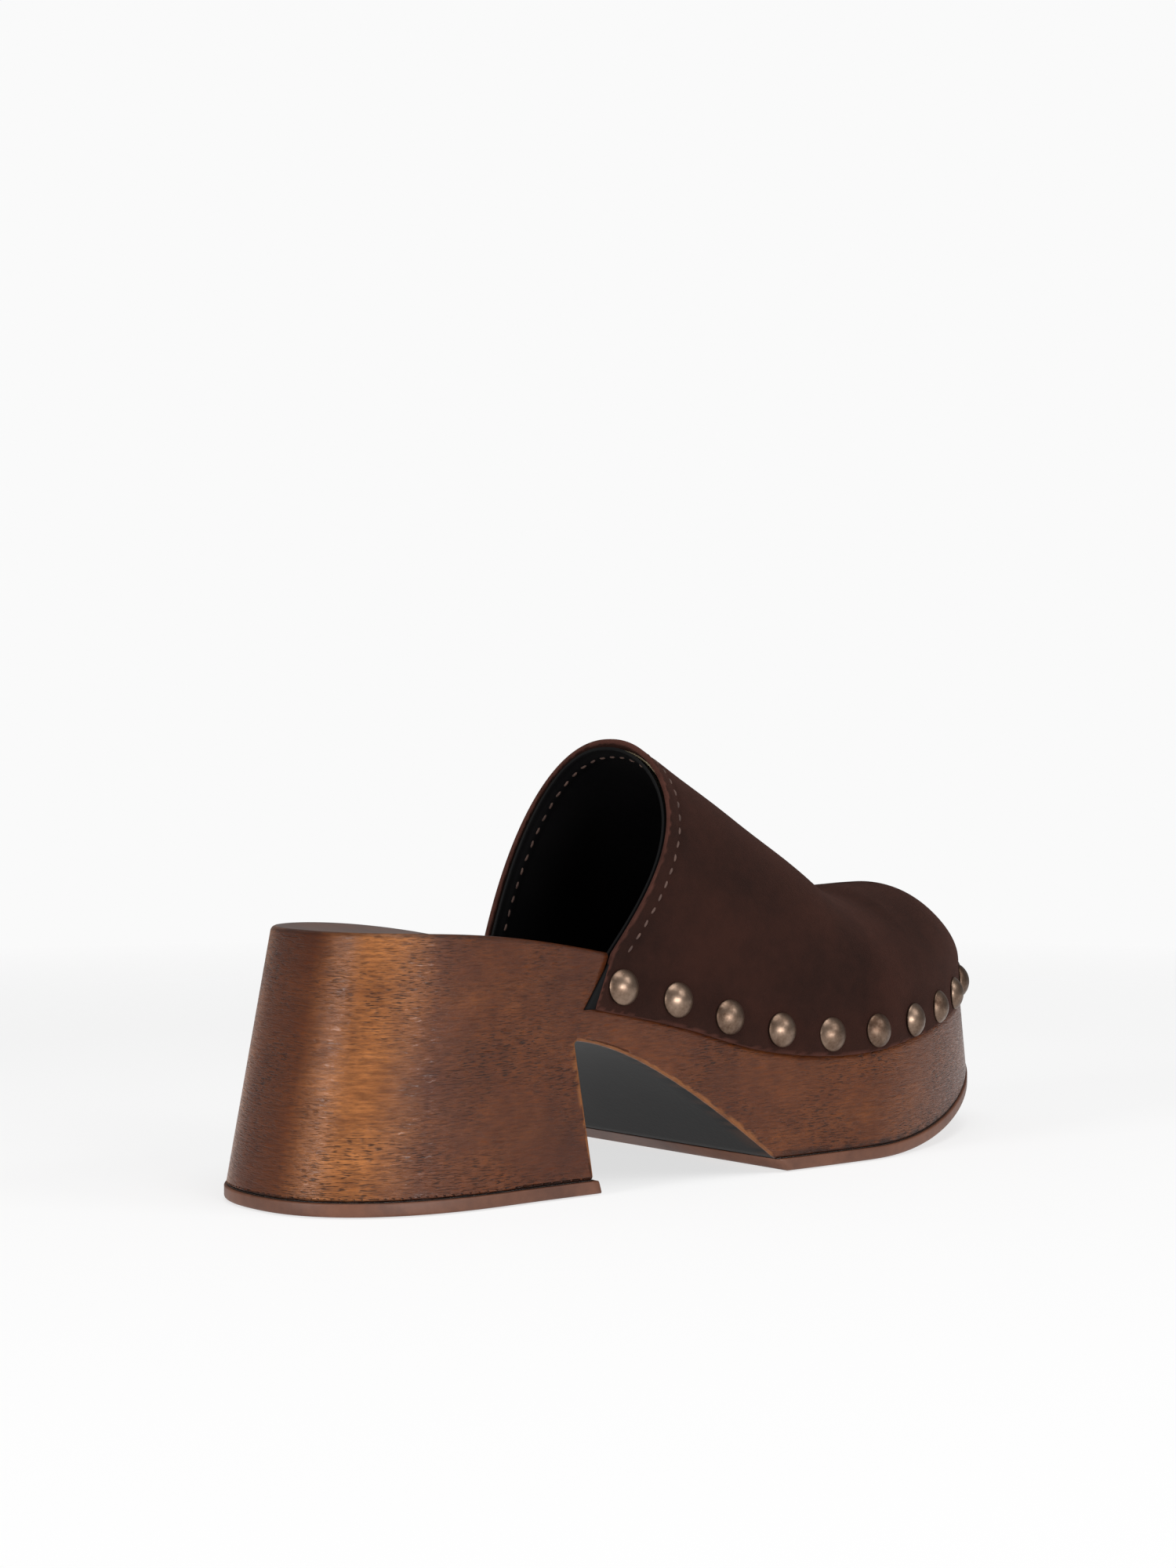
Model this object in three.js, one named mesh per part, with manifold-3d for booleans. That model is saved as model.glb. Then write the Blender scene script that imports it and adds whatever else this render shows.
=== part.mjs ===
// Wooden clog, right shoe: a carved wooden sole with a block heel, rubber walking
// surfaces, and a suede mule upper nailed round the edge of the sole with domed studs.
// Units are millimetres. Before it is centred, X runs from the back of the heel to the
// toe, Y is positive towards the inner (medial) side of the foot, and Z is up.

import * as THREE from 'three';
import Module from 'manifold-3d';

const wasm = await Module();
wasm.setup();

// ---------------------------------------------------------------- driving dimensions

const CLEARANCE = 0.3;            // between any two neighbouring pieces

// Overall sizes. The ball of the foot and the stations of the long curves are given for the
// base length, and move with the length as a shoemaker's grading moves them.
const SHOE_LENGTH = 253.5;
const BASE_LENGTH = 253.5;
const SHOE_WIDTH = 85.2;          // across the ball, on the floor
const along = (x) => x * SHOE_LENGTH / BASE_LENGTH;
const graded = (stations) => stations.map(([x, height]) => [along(x), height]);

// Plan outlines of the sole: one where its sides would meet the floor, one at its top rim.
// back and toe are the ends; heelEnd is where the round of the heel stops; the ball is the
// widest place on each side; the powers say how square the heel and toe rounds are.
const HEEL_LEAN = 13.5;           // how far the back of the heel leans in, from floor to rim
const TOE_LEAN = 9.5;
const OUTER_LEAN = 3.7;
const INNER_LEAN = 4;
const BALL_SKEW = 0.1;            // the ball is this much nearer to the outer side
const FLOOR_OUTLINE = {
  back: 0, heelEnd: 50, heelHalf: 36.2, heelPower: 2.35,
  outerBall: along(167), outerHalf: SHOE_WIDTH / 2 + BALL_SKEW, outerPower: 1.45,
  innerBall: along(182), innerHalf: SHOE_WIDTH / 2 - BALL_SKEW, innerPower: 2.0,
  toe: SHOE_LENGTH, toeY: 6,
};
const RIM_OUTLINE = {
  back: HEEL_LEAN, heelEnd: 47, heelHalf: 30, heelPower: 2.35,
  outerBall: along(172), outerHalf: FLOOR_OUTLINE.outerHalf - OUTER_LEAN, outerPower: 1.55,
  innerBall: along(184), innerHalf: FLOOR_OUTLINE.innerHalf - INNER_LEAN, innerPower: 2.0,
  toe: SHOE_LENGTH - TOE_LEAN, toeY: 5,
};

// Height of the rim, from the heel seat down to the ball and up to the toe.
const RIM_HEIGHT = graded([
  [11, 65], [50, 63.2], [86, 57.2], [112, 50.5], [145, 44.5], [178, 41.5], [210, 43.5], [242, 48],
]);
const RIM_ROUND = 2;              // softened edge of the rim
const HEEL_DISH = 3;              // depth of the hollow that the heel sits in
const BALL_DISH = 1.5;            // depth of the hollow under the ball of the foot
const DISH_SHARE = graded([[13, 0.4], [40, 1], [90, 0.3], [165, BALL_DISH / HEEL_DISH], [245, 0.2]]);
const DISH_POWER = 4;             // how flat the hollow is across the foot

// Underside, as seen from the side.
const BREAST_BOTTOM_X = 75;       // front face of the heel, at the bottom
const BREAST_LEAN = 3.2;          // how far it leans back up to the arch
const BREAST_TOP_X = BREAST_BOTTOM_X - BREAST_LEAN;
const ARCH_TOP = 37;              // height of the arch at the heel
const ARCH_END_X = 132;           // where the arch comes down to the forefoot
const ARCH_REAR_HANDLE = [17.5, -1.6]; // the arch leaves the heel towards this point
const ARCH_FRONT_HANDLE = [-20, 15.8]; // and reaches the forefoot from this one
const TOE_SPRING = 15.9;          // how far the toe is lifted off the floor
const SPRING_START_X = along(171);
const SPRING_END_X = along(250);

// Rubber walking surfaces.
const RUBBER = 3.2;               // thickness
const RUBBER_PROUD = 0.5;         // how far it stands out past the wood
const RUBBER_ROUND = 0.7;         // softened lower edge
const TOP_ROUND_DEPTH = 0.35;     // softened upper edge, down the side
const TOP_ROUND_INSET = 0.21;     // and in from the side
const RUBBER_SKIVE = 4;           // slope on the rear end of the forefoot piece
const RUBBER_RAKE = 0.3;          // slope on the front end of the heel piece, along for each 1 down

// Upper: layers, measured inwards from the outer face of the suede.
const SUEDE = 1.4;
const STIFFENER = 0.4;            // toe puff and topline tape
const LINING = 0.8;
const UPPER_PROUD_SIDE = 1.2;     // how far the suede stands out past the wood at the sides
const UPPER_PROUD_TOE = 0.3;      // and at the tip of the toe

// Bottom edge of the upper on the wall of the sole.
const UPPER_EDGE = graded([
  [80, 44.6], [105, 38.8], [130, 31.4], [157, 28.2], [186, 30.3], [215, 34.6], [245, 39],
]);
const EDGE_SLANT = 4.6;           // the rear ends of the upper lean back by this much
const SLANT_POWER = 4;            // how soon the lean dies out towards the toe

// Top line, the opening that the foot goes in by.
const TOPLINE_TOP_X = 111.6;
const TOPLINE_TOP_HEIGHT = 110.2;
const TOPLINE_OUTER_X = 84.4;     // where the top line meets the rim, on the outer side
const TOPLINE_INNER_X = 96;       // and on the inner side
const TOPLINE_OUTER_POWER = 1.75;
const TOPLINE_INNER_POWER = 1.2;

// Ridge of the upper, along its middle, and the round that closes it at the toe. Its stations
// are given as shares of the way from the top line to the toe.
const RIDGE_END_X = along(245);
const RIDGE_HEIGHT = [
  [0, TOPLINE_TOP_HEIGHT], [0.1754, 96], [0.3628, 80.4], [0.4978, 69.6], [0.6252, 69.4],
  [0.7751, 69.8], [1, 66],
].map(([share, height]) => [TOPLINE_TOP_X + share * (RIDGE_END_X - TOPLINE_TOP_X), height]);
const TOE_ROUND_LENGTH = 32.5;    // it starts this far behind the tip of the toe
const TOE_ROUND_POWER = 1.7;
const THROAT_POWER = 2.2;         // squareness of the arch-shaped cross-section at the throat
const TOE_POWER = 1.95;           // and over the toes
const POWER_CHANGE_X = [along(120), along(200)];

// Hidden stiffeners.
const PUFF_LENGTH = 48;           // of the toe puff, back from the tip of the toe
const TAPE_WIDTH = 9;

// Stitching.
const THREAD_RADIUS = 0.3;
const STITCH_MARGIN = 3;          // distance of the seam from the top line
const SEAM_RISE = 0.3;            // how far up the first column over the rim the seam starts

// Studs.
const STUD_COUNT = 21;
const STUD_RADIUS = 4.45;
const STUD_HEIGHT = 2.3;
const STUD_LIP = 0.5;             // straight edge under the dome
const NAIL_RADIUS = 0.8;
const NAIL_LENGTH = 11;
const NAIL_POINT = 2;
const STUD_REAR_MARGIN = 5;       // first and last stud, from the rear ends of the upper
const STUD_ABOVE_EDGE_REAR = 6.3; // height of the studs over the edge of the upper
const STUD_ABOVE_EDGE_TOE = 4.3;
const STUD_EASE = 1.2;            // the height has changed by this share of the way, inverted
const HOLE_SPARE = 2;             // how much deeper the hole is than the nail
const HOLE_MOUTH = 3;             // how far the hole's cutter stands out of the surface

// Fineness of the surfaces, and how far the cutters reach past what they cut.
const CUTTER_REACH = 20;
const REBATE_REACH = 8;
const OUTLINE_STEPS = 32;         // along each side of the sole
const UPPER_ROWS = 16;
const DOME_COLUMNS = 14;
const BAND_ROWS = 3;
const STUD_SIDES = 10;
const THREAD_STEPS = 30;
const THREAD_CURVE = 3;
const FOOTBED_RUNGS = 8;
const ARCH_STEPS = 14;
const SPRING_STEPS = 10;
const HEEL_TREAD_STEPS = 18;
const FOREFOOT_TREAD_STEPS = 24;
const DOME_STEPS = 3;             // of a stud
const HOLE_SIDES = 8;
const PATH_SAMPLES = 240;         // for spacing the studs
const SLOPE_STEP = 0.002;         // share of the way forwards over which a slope is measured
const SLOPE_DROP = 0.05;          // and share of the way down
const WELD_STEPS_PER_MM = 5000;   // points closer than one step are one point

// ---------------------------------------------------------------- curves

const clamp01 = (value) => Math.min(1, Math.max(0, value));
const mix = (a, b, share) => a + (b - a) * share;
const easeInOut = (value) => clamp01(value) ** 2 * (3 - 2 * clamp01(value));

// Smooth curve through a few stations [x, value]; the slope at each is that of its neighbours.
function smoothThrough(stations, x) {
  const last = stations.length - 1;
  const slope = (i) => (stations[i + 1][1] - stations[i][1]) / (stations[i + 1][0] - stations[i][0]);
  const width = (i) => stations[i + 1][0] - stations[i][0];
  const inner = (i) => (slope(i - 1) * width(i) + slope(i) * width(i - 1)) / (width(i - 1) + width(i));
  const tangent = (i) => {
    if (i === 0) return 1.5 * slope(0) - 0.5 * inner(1);
    if (i === last) return 1.5 * slope(last - 1) - 0.5 * inner(last - 1);
    return inner(i);
  };
  let i = 0;
  while (i < last - 1 && x >= stations[i + 1][0]) i += 1;
  const h = width(i);
  const u = (x - stations[i][0]) / h;
  return stations[i][1] * (1 + 2 * u) * (1 - u) ** 2 + tangent(i) * h * u * (1 - u) ** 2
    + stations[i + 1][1] * u * u * (3 - 2 * u) + tangent(i + 1) * h * u * u * (u - 1);
}

// Quarter round of a superellipse: 1 at 0, 0 at 1, square-ish for a high power.
const quarterRound = (share, power) => Math.max(0, 1 - clamp01(share) ** power) ** (1 / power);

// The outline a little larger at the sides and the toe.
function grow(outline, atSides, atToe) {
  return {
    ...outline,
    heelHalf: outline.heelHalf + atSides,
    outerHalf: outline.outerHalf + atSides,
    innerHalf: outline.innerHalf + atSides,
    toe: outline.toe + atToe,
  };
}

// The outline moved inwards all round.
const inset = (outline, by) => ({ ...grow(outline, -by, -by), back: outline.back + by });

// Distance of the outline from the middle line at x; side is -1 outer, +1 inner.
function outlineY(outline, side, x) {
  const ball = side < 0 ? outline.outerBall : outline.innerBall;
  const half = side < 0 ? outline.outerHalf : outline.innerHalf;
  const power = side < 0 ? outline.outerPower : outline.innerPower;
  if (x < outline.heelEnd) {
    const share = (outline.heelEnd - x) / (outline.heelEnd - outline.back);
    return side * outline.heelHalf * quarterRound(share, outline.heelPower);
  }
  if (x < ball) {
    return side * mix(outline.heelHalf, half, easeInOut((x - outline.heelEnd) / (ball - outline.heelEnd)));
  }
  const share = (x - ball) / (outline.toe - ball);
  return side * mix(side * outline.toeY, half, quarterRound(share, power));
}

// Places along an outline go from 0 at the back to 1 at the toe, close together at the ends.
const placeToX = (outline, place) => mix(outline.back, outline.toe, (1 - Math.cos(Math.PI * place)) / 2);
const shareAlong = (outline, x) => clamp01((x - outline.back) / (outline.toe - outline.back));
const xToPlace = (outline, x) => Math.acos(1 - 2 * shareAlong(outline, x)) / Math.PI;

const rimHeight = (x) => smoothThrough(RIM_HEIGHT, x);
const WOOD_BOTTOM = RUBBER + CLEARANCE;

// Straight line from the rim outline to the floor outline, at height z.
function wallPoint(rim, floor, side, place, z) {
  const rimX = placeToX(rim, place);
  const floorX = placeToX(floor, place);
  const drop = 1 - z / rimHeight(rimX);
  return new THREE.Vector3(
    mix(rimX, floorX, drop),
    mix(outlineY(rim, side, rimX), outlineY(floor, side, floorX), drop),
    z,
  );
}

// Height of the wood's lower face over the floor, from the arch forwards.
function forefootBottom(x) {
  const share = Math.max(0, (x - SPRING_START_X) / (SPRING_END_X - SPRING_START_X));
  return WOOD_BOTTOM + TOE_SPRING * share ** 2;
}

// ---------------------------------------------------------------- solids

const keyOf = (point) => point.toArray().map((value) => Math.round(value * WELD_STEPS_PER_MM)).join();

// Joins grids of points (lists of rows) into one welded mesh {points, faces}.
function weld(patches) {
  const places = new Map();
  const points = [];
  const faces = [];
  const indexOf = (point) => {
    const key = keyOf(point);
    if (!places.has(key)) {
      places.set(key, points.length);
      points.push(point);
    }
    return places.get(key);
  };
  const addFace = (a, b, c) => {
    if (a !== b && b !== c && c !== a) faces.push([a, b, c]);
  };
  for (const rows of patches) {
    const indices = rows.map((row) => row.map(indexOf));
    for (let i = 0; i + 1 < rows.length; i += 1) {
      for (let j = 0; j + 1 < rows[i].length; j += 1) {
        addFace(indices[i][j], indices[i][j + 1], indices[i + 1][j + 1]);
        addFace(indices[i][j], indices[i + 1][j + 1], indices[i + 1][j]);
      }
    }
  }
  return { points, faces };
}

function toManifold({ points, faces }) {
  const vertProperties = new Float32Array(points.flatMap((point) => point.toArray()));
  const solidOf = (corners) => {
    const triVerts = new Uint32Array(corners.flat());
    return new wasm.Manifold(new wasm.Mesh({ numProp: 3, vertProperties, triVerts }));
  };
  const solid = solidOf(faces);
  return solid.volume() > 0 ? solid : solidOf(faces.map(([a, b, c]) => [a, c, b]));
}

// A three.js geometry as a solid for cutting.
function geometryToManifold(geometry) {
  const flat = geometry.index ? geometry.toNonIndexed() : geometry;
  const position = flat.getAttribute('position');
  const corners = [];
  for (let i = 0; i < position.count; i += 1) {
    corners.push(new THREE.Vector3().fromBufferAttribute(position, i));
  }
  const patches = [];
  for (let i = 0; i < corners.length; i += 3) {
    patches.push([[corners[i], corners[i + 1]], [corners[i + 2], corners[i + 2]]]);
  }
  return toManifold(weld(patches));
}

function manifoldToGeometry(solid) {
  const mesh = solid.getMesh();
  const geometry = new THREE.BufferGeometry();
  geometry.setAttribute('position', new THREE.BufferAttribute(Float32Array.from(mesh.vertProperties), 3));
  geometry.setIndex(new THREE.BufferAttribute(Uint32Array.from(mesh.triVerts), 1));
  geometry.computeVertexNormals();
  return geometry;
}

// Rows of a ladder that closes a loop of points: each rung joins the outer to the inner side.
function ladder(outerSide, innerSide, rungPoints, heightAt) {
  return outerSide.map((outer, i) => {
    const rung = [];
    for (let j = 0; j <= rungPoints; j += 1) {
      const share = j / rungPoints;
      const point = outer.clone().lerp(innerSide[i], share);
      point.z -= heightAt(point.x, share);
      rung.push(point);
    }
    return rung;
  });
}

// A block between loops given as pairs of sides, closed by ladders below and above.
// Each level is {outer, inner}: points from the rear to the front on either side.
function blockFromLevels(levels, rungPoints, dishAt, closedAtBack) {
  const loops = levels.map(({ outer, inner }) => {
    const loop = [...outer, ...[...inner].reverse()];
    return closedAtBack ? loop : [...loop, outer[0]];
  });
  const bottom = levels[0];
  const top = levels[levels.length - 1];
  const under = ladder(bottom.outer, bottom.inner, 1, () => 0);
  const over = ladder(top.outer, top.inner, rungPoints, dishAt).map((row) => [...row].reverse());
  return weld([loops, under, over]);
}

// ---------------------------------------------------------------- wooden sole

const sidePlaces = Array.from({ length: OUTLINE_STEPS + 1 }, (_, i) => i / OUTLINE_STEPS);

// Both sides of the plain wall at heights given by x, moved inwards.
function soleLevel(heightAt, inwards) {
  const rim = inset(RIM_OUTLINE, inwards);
  const floor = inset(FLOOR_OUTLINE, inwards);
  const side = (sign) => sidePlaces.map((place) => {
    return wallPoint(rim, floor, sign, place, heightAt(placeToX(rim, place)));
  });
  return { outer: side(-1), inner: side(1) };
}

// Depth of the footbed under the rim: a heel cup and a shallower hollow at the ball.
function footbedDepth(x, share) {
  const across = 1 - (2 * share - 1) ** DISH_POWER;
  return HEEL_DISH * across * smoothThrough(DISH_SHARE, x);
}

// Everything below the carved underside: heel breast, arch, forefoot and toe spring.
function undersideCutter() {
  const below = -CUTTER_REACH / 2;
  const beyond = SHOE_LENGTH + CUTTER_REACH;
  const profile = new THREE.Shape();
  profile.moveTo(BREAST_BOTTOM_X, below);
  profile.lineTo(BREAST_BOTTOM_X, WOOD_BOTTOM);
  profile.lineTo(BREAST_TOP_X, ARCH_TOP);
  profile.bezierCurveTo(
    BREAST_TOP_X + ARCH_REAR_HANDLE[0], ARCH_TOP + ARCH_REAR_HANDLE[1],
    ARCH_END_X + ARCH_FRONT_HANDLE[0], WOOD_BOTTOM + ARCH_FRONT_HANDLE[1],
    ARCH_END_X, WOOD_BOTTOM,
  );
  for (let i = 0; i <= SPRING_STEPS; i += 1) {
    const x = mix(SPRING_START_X, beyond, i / SPRING_STEPS);
    profile.lineTo(x, forefootBottom(x));
  }
  profile.lineTo(beyond, below);
  profile.closePath();
  const width = SHOE_WIDTH + 2 * CUTTER_REACH;
  const options = { depth: width, bevelEnabled: false, curveSegments: ARCH_STEPS };
  const geometry = new THREE.ExtrudeGeometry(profile, options);
  geometry.rotateX(Math.PI / 2);
  geometry.translate(0, width / 2, 0);
  return geometryToManifold(geometry);
}

function plainSole() {
  const shoulder = RIM_ROUND * 0.3; // half way round the softened edge, inwards and downwards
  const levels = [
    soleLevel(() => WOOD_BOTTOM, 0),
    soleLevel((x) => mix(WOOD_BOTTOM, rimHeight(x), 0.5), 0),
    soleLevel((x) => rimHeight(x) - RIM_ROUND, 0),
    soleLevel((x) => rimHeight(x) - shoulder, shoulder),
    soleLevel((x) => rimHeight(x), RIM_ROUND),
  ];
  return toManifold(blockFromLevels(levels, FOOTBED_RUNGS, footbedDepth, true)).subtract(undersideCutter());
}

// ---------------------------------------------------------------- rubber walking surfaces

// Levels of a rubber piece between two places along the sole, following the wood above it.
function rubberLevels(rearXAt, frontXAt, steps, bottomOfWood) {
  const heights = [
    { below: CLEARANCE + RUBBER, inwards: RUBBER_ROUND - RUBBER_PROUD },
    { below: CLEARANCE + RUBBER - RUBBER_ROUND, inwards: -RUBBER_PROUD },
    { below: CLEARANCE + TOP_ROUND_DEPTH, inwards: -RUBBER_PROUD },
    { below: CLEARANCE, inwards: TOP_ROUND_INSET - RUBBER_PROUD },
  ];
  return heights.map(({ below, inwards }) => {
    const rim = inset(RIM_OUTLINE, inwards);
    const floor = inset(FLOOR_OUTLINE, inwards);
    const side = (sign) => Array.from({ length: steps + 1 }, (_, i) => {
      const rear = xToPlace(floor, rearXAt(below));
      const front = xToPlace(floor, frontXAt(below));
      const place = mix(rear, front, i / steps);
      const point = wallPoint(rim, floor, sign, place, bottomOfWood(placeToX(floor, place)));
      return point.setZ(bottomOfWood(point.x) - below);
    });
    return { outer: side(-1), inner: side(1) };
  });
}

function heelTopPiece() {
  const frontX = (below) => BREAST_BOTTOM_X + RUBBER_PROUD + RUBBER_RAKE * below;
  const levels = rubberLevels(() => -RUBBER_PROUD * 2, frontX, HEEL_TREAD_STEPS, () => WOOD_BOTTOM);
  return toManifold(blockFromLevels(levels, 1, () => 0, false));
}

function forefootOutsole() {
  const rearX = (below) => ARCH_END_X + RUBBER_SKIVE * (below / (RUBBER + CLEARANCE));
  const frontX = () => FLOOR_OUTLINE.toe + RUBBER_PROUD * 2;
  const levels = rubberLevels(rearX, frontX, FOREFOOT_TREAD_STEPS, forefootBottom);
  return toManifold(blockFromLevels(levels, 1, () => 0, false));
}

// ---------------------------------------------------------------- upper

const UPPER_RIM = grow(RIM_OUTLINE, UPPER_PROUD_SIDE, UPPER_PROUD_TOE);
const UPPER_FLOOR = grow(FLOOR_OUTLINE, UPPER_PROUD_SIDE, UPPER_PROUD_TOE);
const upperEdgeHeight = (x) => smoothThrough(UPPER_EDGE, x);

// Point on the outer face of the nailed band: drop is 0 at the rim and 1 at the lower edge.
function bandPoint(side, rimX, drop, forward) {
  const slant = EDGE_SLANT * drop * (1 - forward) ** SLANT_POWER;
  const x = rimX - slant;
  const z = mix(rimHeight(x), upperEdgeHeight(x), drop);
  return wallPoint(UPPER_RIM, UPPER_FLOOR, side, xToPlace(UPPER_RIM, x), z);
}

// Point on the arch over the foot: turn goes from 0 on the outer rim to PI on the inner rim,
// and forward from 0 at the top line to 1 at the tip of the toe.
function domePoint(turn, forward) {
  const side = turn < Math.PI / 2 ? -1 : 1;
  const rise = Math.max(0, Math.sin(turn)) ** (2 / THROAT_POWER);
  const endX = side < 0 ? TOPLINE_OUTER_X : TOPLINE_INNER_X;
  const endPower = side < 0 ? TOPLINE_OUTER_POWER : TOPLINE_INNER_POWER;
  const startX = mix(TOPLINE_TOP_X, endX, (1 - rise) ** endPower);
  const x = mix(startX, UPPER_RIM.toe, forward);
  const change = (x - POWER_CHANGE_X[0]) / (POWER_CHANGE_X[1] - POWER_CHANGE_X[0]);
  const power = mix(THROAT_POWER, TOE_POWER, easeInOut(change));
  const across = side * Math.abs(Math.cos(turn)) ** (2 / power);
  const up = Math.max(0, Math.sin(turn)) ** (2 / power);
  const outer = outlineY(UPPER_RIM, -1, x);
  const inner = outlineY(UPPER_RIM, 1, x);
  const y = (outer + inner) / 2 + across * (inner - outer) / 2;
  const toeShare = 1 - (UPPER_RIM.toe - x) / (TOE_ROUND_LENGTH + UPPER_PROUD_TOE);
  const ridge = (smoothThrough(RIDGE_HEIGHT, x) - rimHeight(x)) * quarterRound(toeShare, TOE_ROUND_POWER);
  return new THREE.Vector3(x, y, rimHeight(x) + ridge * up);
}

const throatRunLength = UPPER_RIM.toe - TOPLINE_TOP_X;
const rowsNearTopline = [0, 1, STITCH_MARGIN, 1 + TAPE_WIDTH].map((distance) => distance / throatRunLength);
const forwardRows = [
  ...rowsNearTopline,
  ...Array.from({ length: UPPER_ROWS }, (_, i) => {
    const start = Math.asin(rowsNearTopline[3]);
    return Math.sin(mix(start, Math.PI / 2, (i + 1) / UPPER_ROWS));
  }),
];

// Outer face of the suede: rows run from the top line to the toe, and each row goes from the
// lower edge on the outer side, over the foot, to the lower edge on the inner side.
function upperRows() {
  return forwardRows.map((forward) => {
    const row = [];
    const outerX = mix(TOPLINE_OUTER_X, UPPER_RIM.toe, forward);
    const innerX = mix(TOPLINE_INNER_X, UPPER_RIM.toe, forward);
    for (let k = BAND_ROWS; k > 0; k -= 1) row.push(bandPoint(-1, outerX, k / BAND_ROWS, forward));
    for (let j = 0; j <= DOME_COLUMNS; j += 1) row.push(domePoint(Math.PI * j / DOME_COLUMNS, forward));
    for (let k = 1; k <= BAND_ROWS; k += 1) row.push(bandPoint(1, innerX, k / BAND_ROWS, forward));
    return row;
  });
}

// Unit normals of a grid, the same wherever its points coincide.
function gridNormals(rows) {
  const { points, faces } = weld([rows]);
  const sums = points.map(() => new THREE.Vector3());
  for (const [a, b, c] of faces) {
    const normal = points[b].clone().sub(points[a]).cross(points[c].clone().sub(points[a]));
    for (const corner of [a, b, c]) sums[corner].add(normal);
  }
  const byKey = new Map(points.map((point, i) => [keyOf(point), sums[i].normalize()]));
  return rows.map((row) => row.map((point) => byKey.get(keyOf(point))));
}

const OUTER_ROWS = upperRows();
const ROW_NORMALS = gridNormals(OUTER_ROWS);
const ridgeNormal = ROW_NORMALS[UPPER_ROWS / 2][BAND_ROWS + DOME_COLUMNS / 2];
const OUTWARD = Math.sign(ridgeNormal.z);

// The outer face moved inwards by a depth, for some of its rows and columns.
function layerRows(depth, rowRange, columnRange) {
  const rows = [];
  for (let i = rowRange[0]; i <= rowRange[1]; i += 1) {
    const row = [];
    for (let j = columnRange[0]; j <= columnRange[1]; j += 1) {
      row.push(OUTER_ROWS[i][j].clone().addScaledVector(ROW_NORMALS[i][j], -OUTWARD * depth));
    }
    rows.push(row);
  }
  return rows;
}

// Closed sheet between two depths under the outer face.
function sheet(fromDepth, toDepth, rowRange, columnRange) {
  const near = layerRows(fromDepth, rowRange, columnRange);
  const far = layerRows(toDepth, rowRange, columnRange);
  const last = near.length - 1;
  const end = near[0].length - 1;
  const firstEdge = [near[0], far[0]].map((row) => [...row].reverse());
  const startEdge = [near.map((row) => row[0]), far.map((row) => row[0])];
  const endEdge = [near.map((row) => row[end]), far.map((row) => row[end])].map((row) => [...row].reverse());
  const patches = [near, far.map((row) => [...row].reverse()), firstEdge, startEdge, endEdge];
  if (rowRange[1] < forwardRows.length - 1) patches.push([near[last], far[last]]);
  return toManifold(weld(patches));
}

const LAST_ROW = forwardRows.length - 1;
const LAST_COLUMN = DOME_COLUMNS + 2 * BAND_ROWS;
const STIFFENER_DEPTH = SUEDE + CLEARANCE;
const LINING_DEPTH = STIFFENER_DEPTH + STIFFENER + CLEARANCE;
const WOOD_DEPTH = LINING_DEPTH + LINING + CLEARANCE;

const suedeUpper = () => sheet(0, SUEDE, [0, LAST_ROW], [0, LAST_COLUMN]);
const upperLining = () => sheet(LINING_DEPTH, LINING_DEPTH + LINING, [0, LAST_ROW], [0, LAST_COLUMN]);

const stiffener = (rowRange) => {
  const overTheFoot = [BAND_ROWS, LAST_COLUMN - BAND_ROWS];
  return sheet(STIFFENER_DEPTH, STIFFENER_DEPTH + STIFFENER, rowRange, overTheFoot);
};
const puffStart = OUTER_ROWS.findIndex((row) => row[BAND_ROWS].x > RIM_OUTLINE.toe - PUFF_LENGTH);
const toePuff = () => stiffener([puffStart, LAST_ROW]);
const toplineTape = () => stiffener([1, 3]);

// The step cut into the wall of the sole, so that the layers of the upper lie almost flush.
function rebateCutter() {
  const cutAt = (columns, depth) => OUTER_ROWS.map((row, i) => {
    const line = columns.map((j) => row[j].clone().addScaledVector(ROW_NORMALS[i][j], -OUTWARD * depth));
    line[0].z -= CLEARANCE;
    const aboveRim = line[line.length - 1].clone();
    aboveRim.z += REBATE_REACH;
    line.push(aboveRim);
    if (i === 0) line.forEach((point) => { point.x -= CLEARANCE; });
    return line;
  });
  const outerColumns = Array.from({ length: BAND_ROWS + 1 }, (_, k) => k);
  const innerColumns = outerColumns.map((k) => LAST_COLUMN - k);
  const around = (depth) => {
    const innerSide = cutAt(innerColumns, depth).reverse().slice(1);
    return [...cutAt(outerColumns, depth), ...innerSide];
  };
  const near = around(-REBATE_REACH);
  const far = around(WOOD_DEPTH);
  const end = BAND_ROWS + 1;
  const last = near.length - 1;
  return toManifold(weld([
    near,
    far.map((row) => [...row].reverse()),
    [near[0], far[0]].map((row) => [...row].reverse()),
    [near[last], far[last]],
    [near.map((row) => row[0]), far.map((row) => row[0])],
    [near.map((row) => row[end]), far.map((row) => row[end])].map((row) => [...row].reverse()),
  ]));
}

// ---------------------------------------------------------------- stitching

// The seam along the top line: a thread laid along the face of a layer.
function seamThread(depth) {
  const seamRow = layerRows(depth, [2, 2], [BAND_ROWS, LAST_COLUMN - BAND_ROWS])[0];
  const last = seamRow.length - 1;
  seamRow[0].lerp(seamRow[1], SEAM_RISE);
  seamRow[last].lerp(seamRow[last - 1], SEAM_RISE);
  const path = new THREE.CatmullRomCurve3(seamRow);
  const section = new THREE.Shape();
  section.absarc(0, 0, THREAD_RADIUS, 0, 2 * Math.PI);
  const options = { steps: THREAD_STEPS, curveSegments: THREAD_CURVE, extrudePath: path };
  return geometryToManifold(new THREE.ExtrudeGeometry(section, options));
}

// ---------------------------------------------------------------- studs

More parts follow.
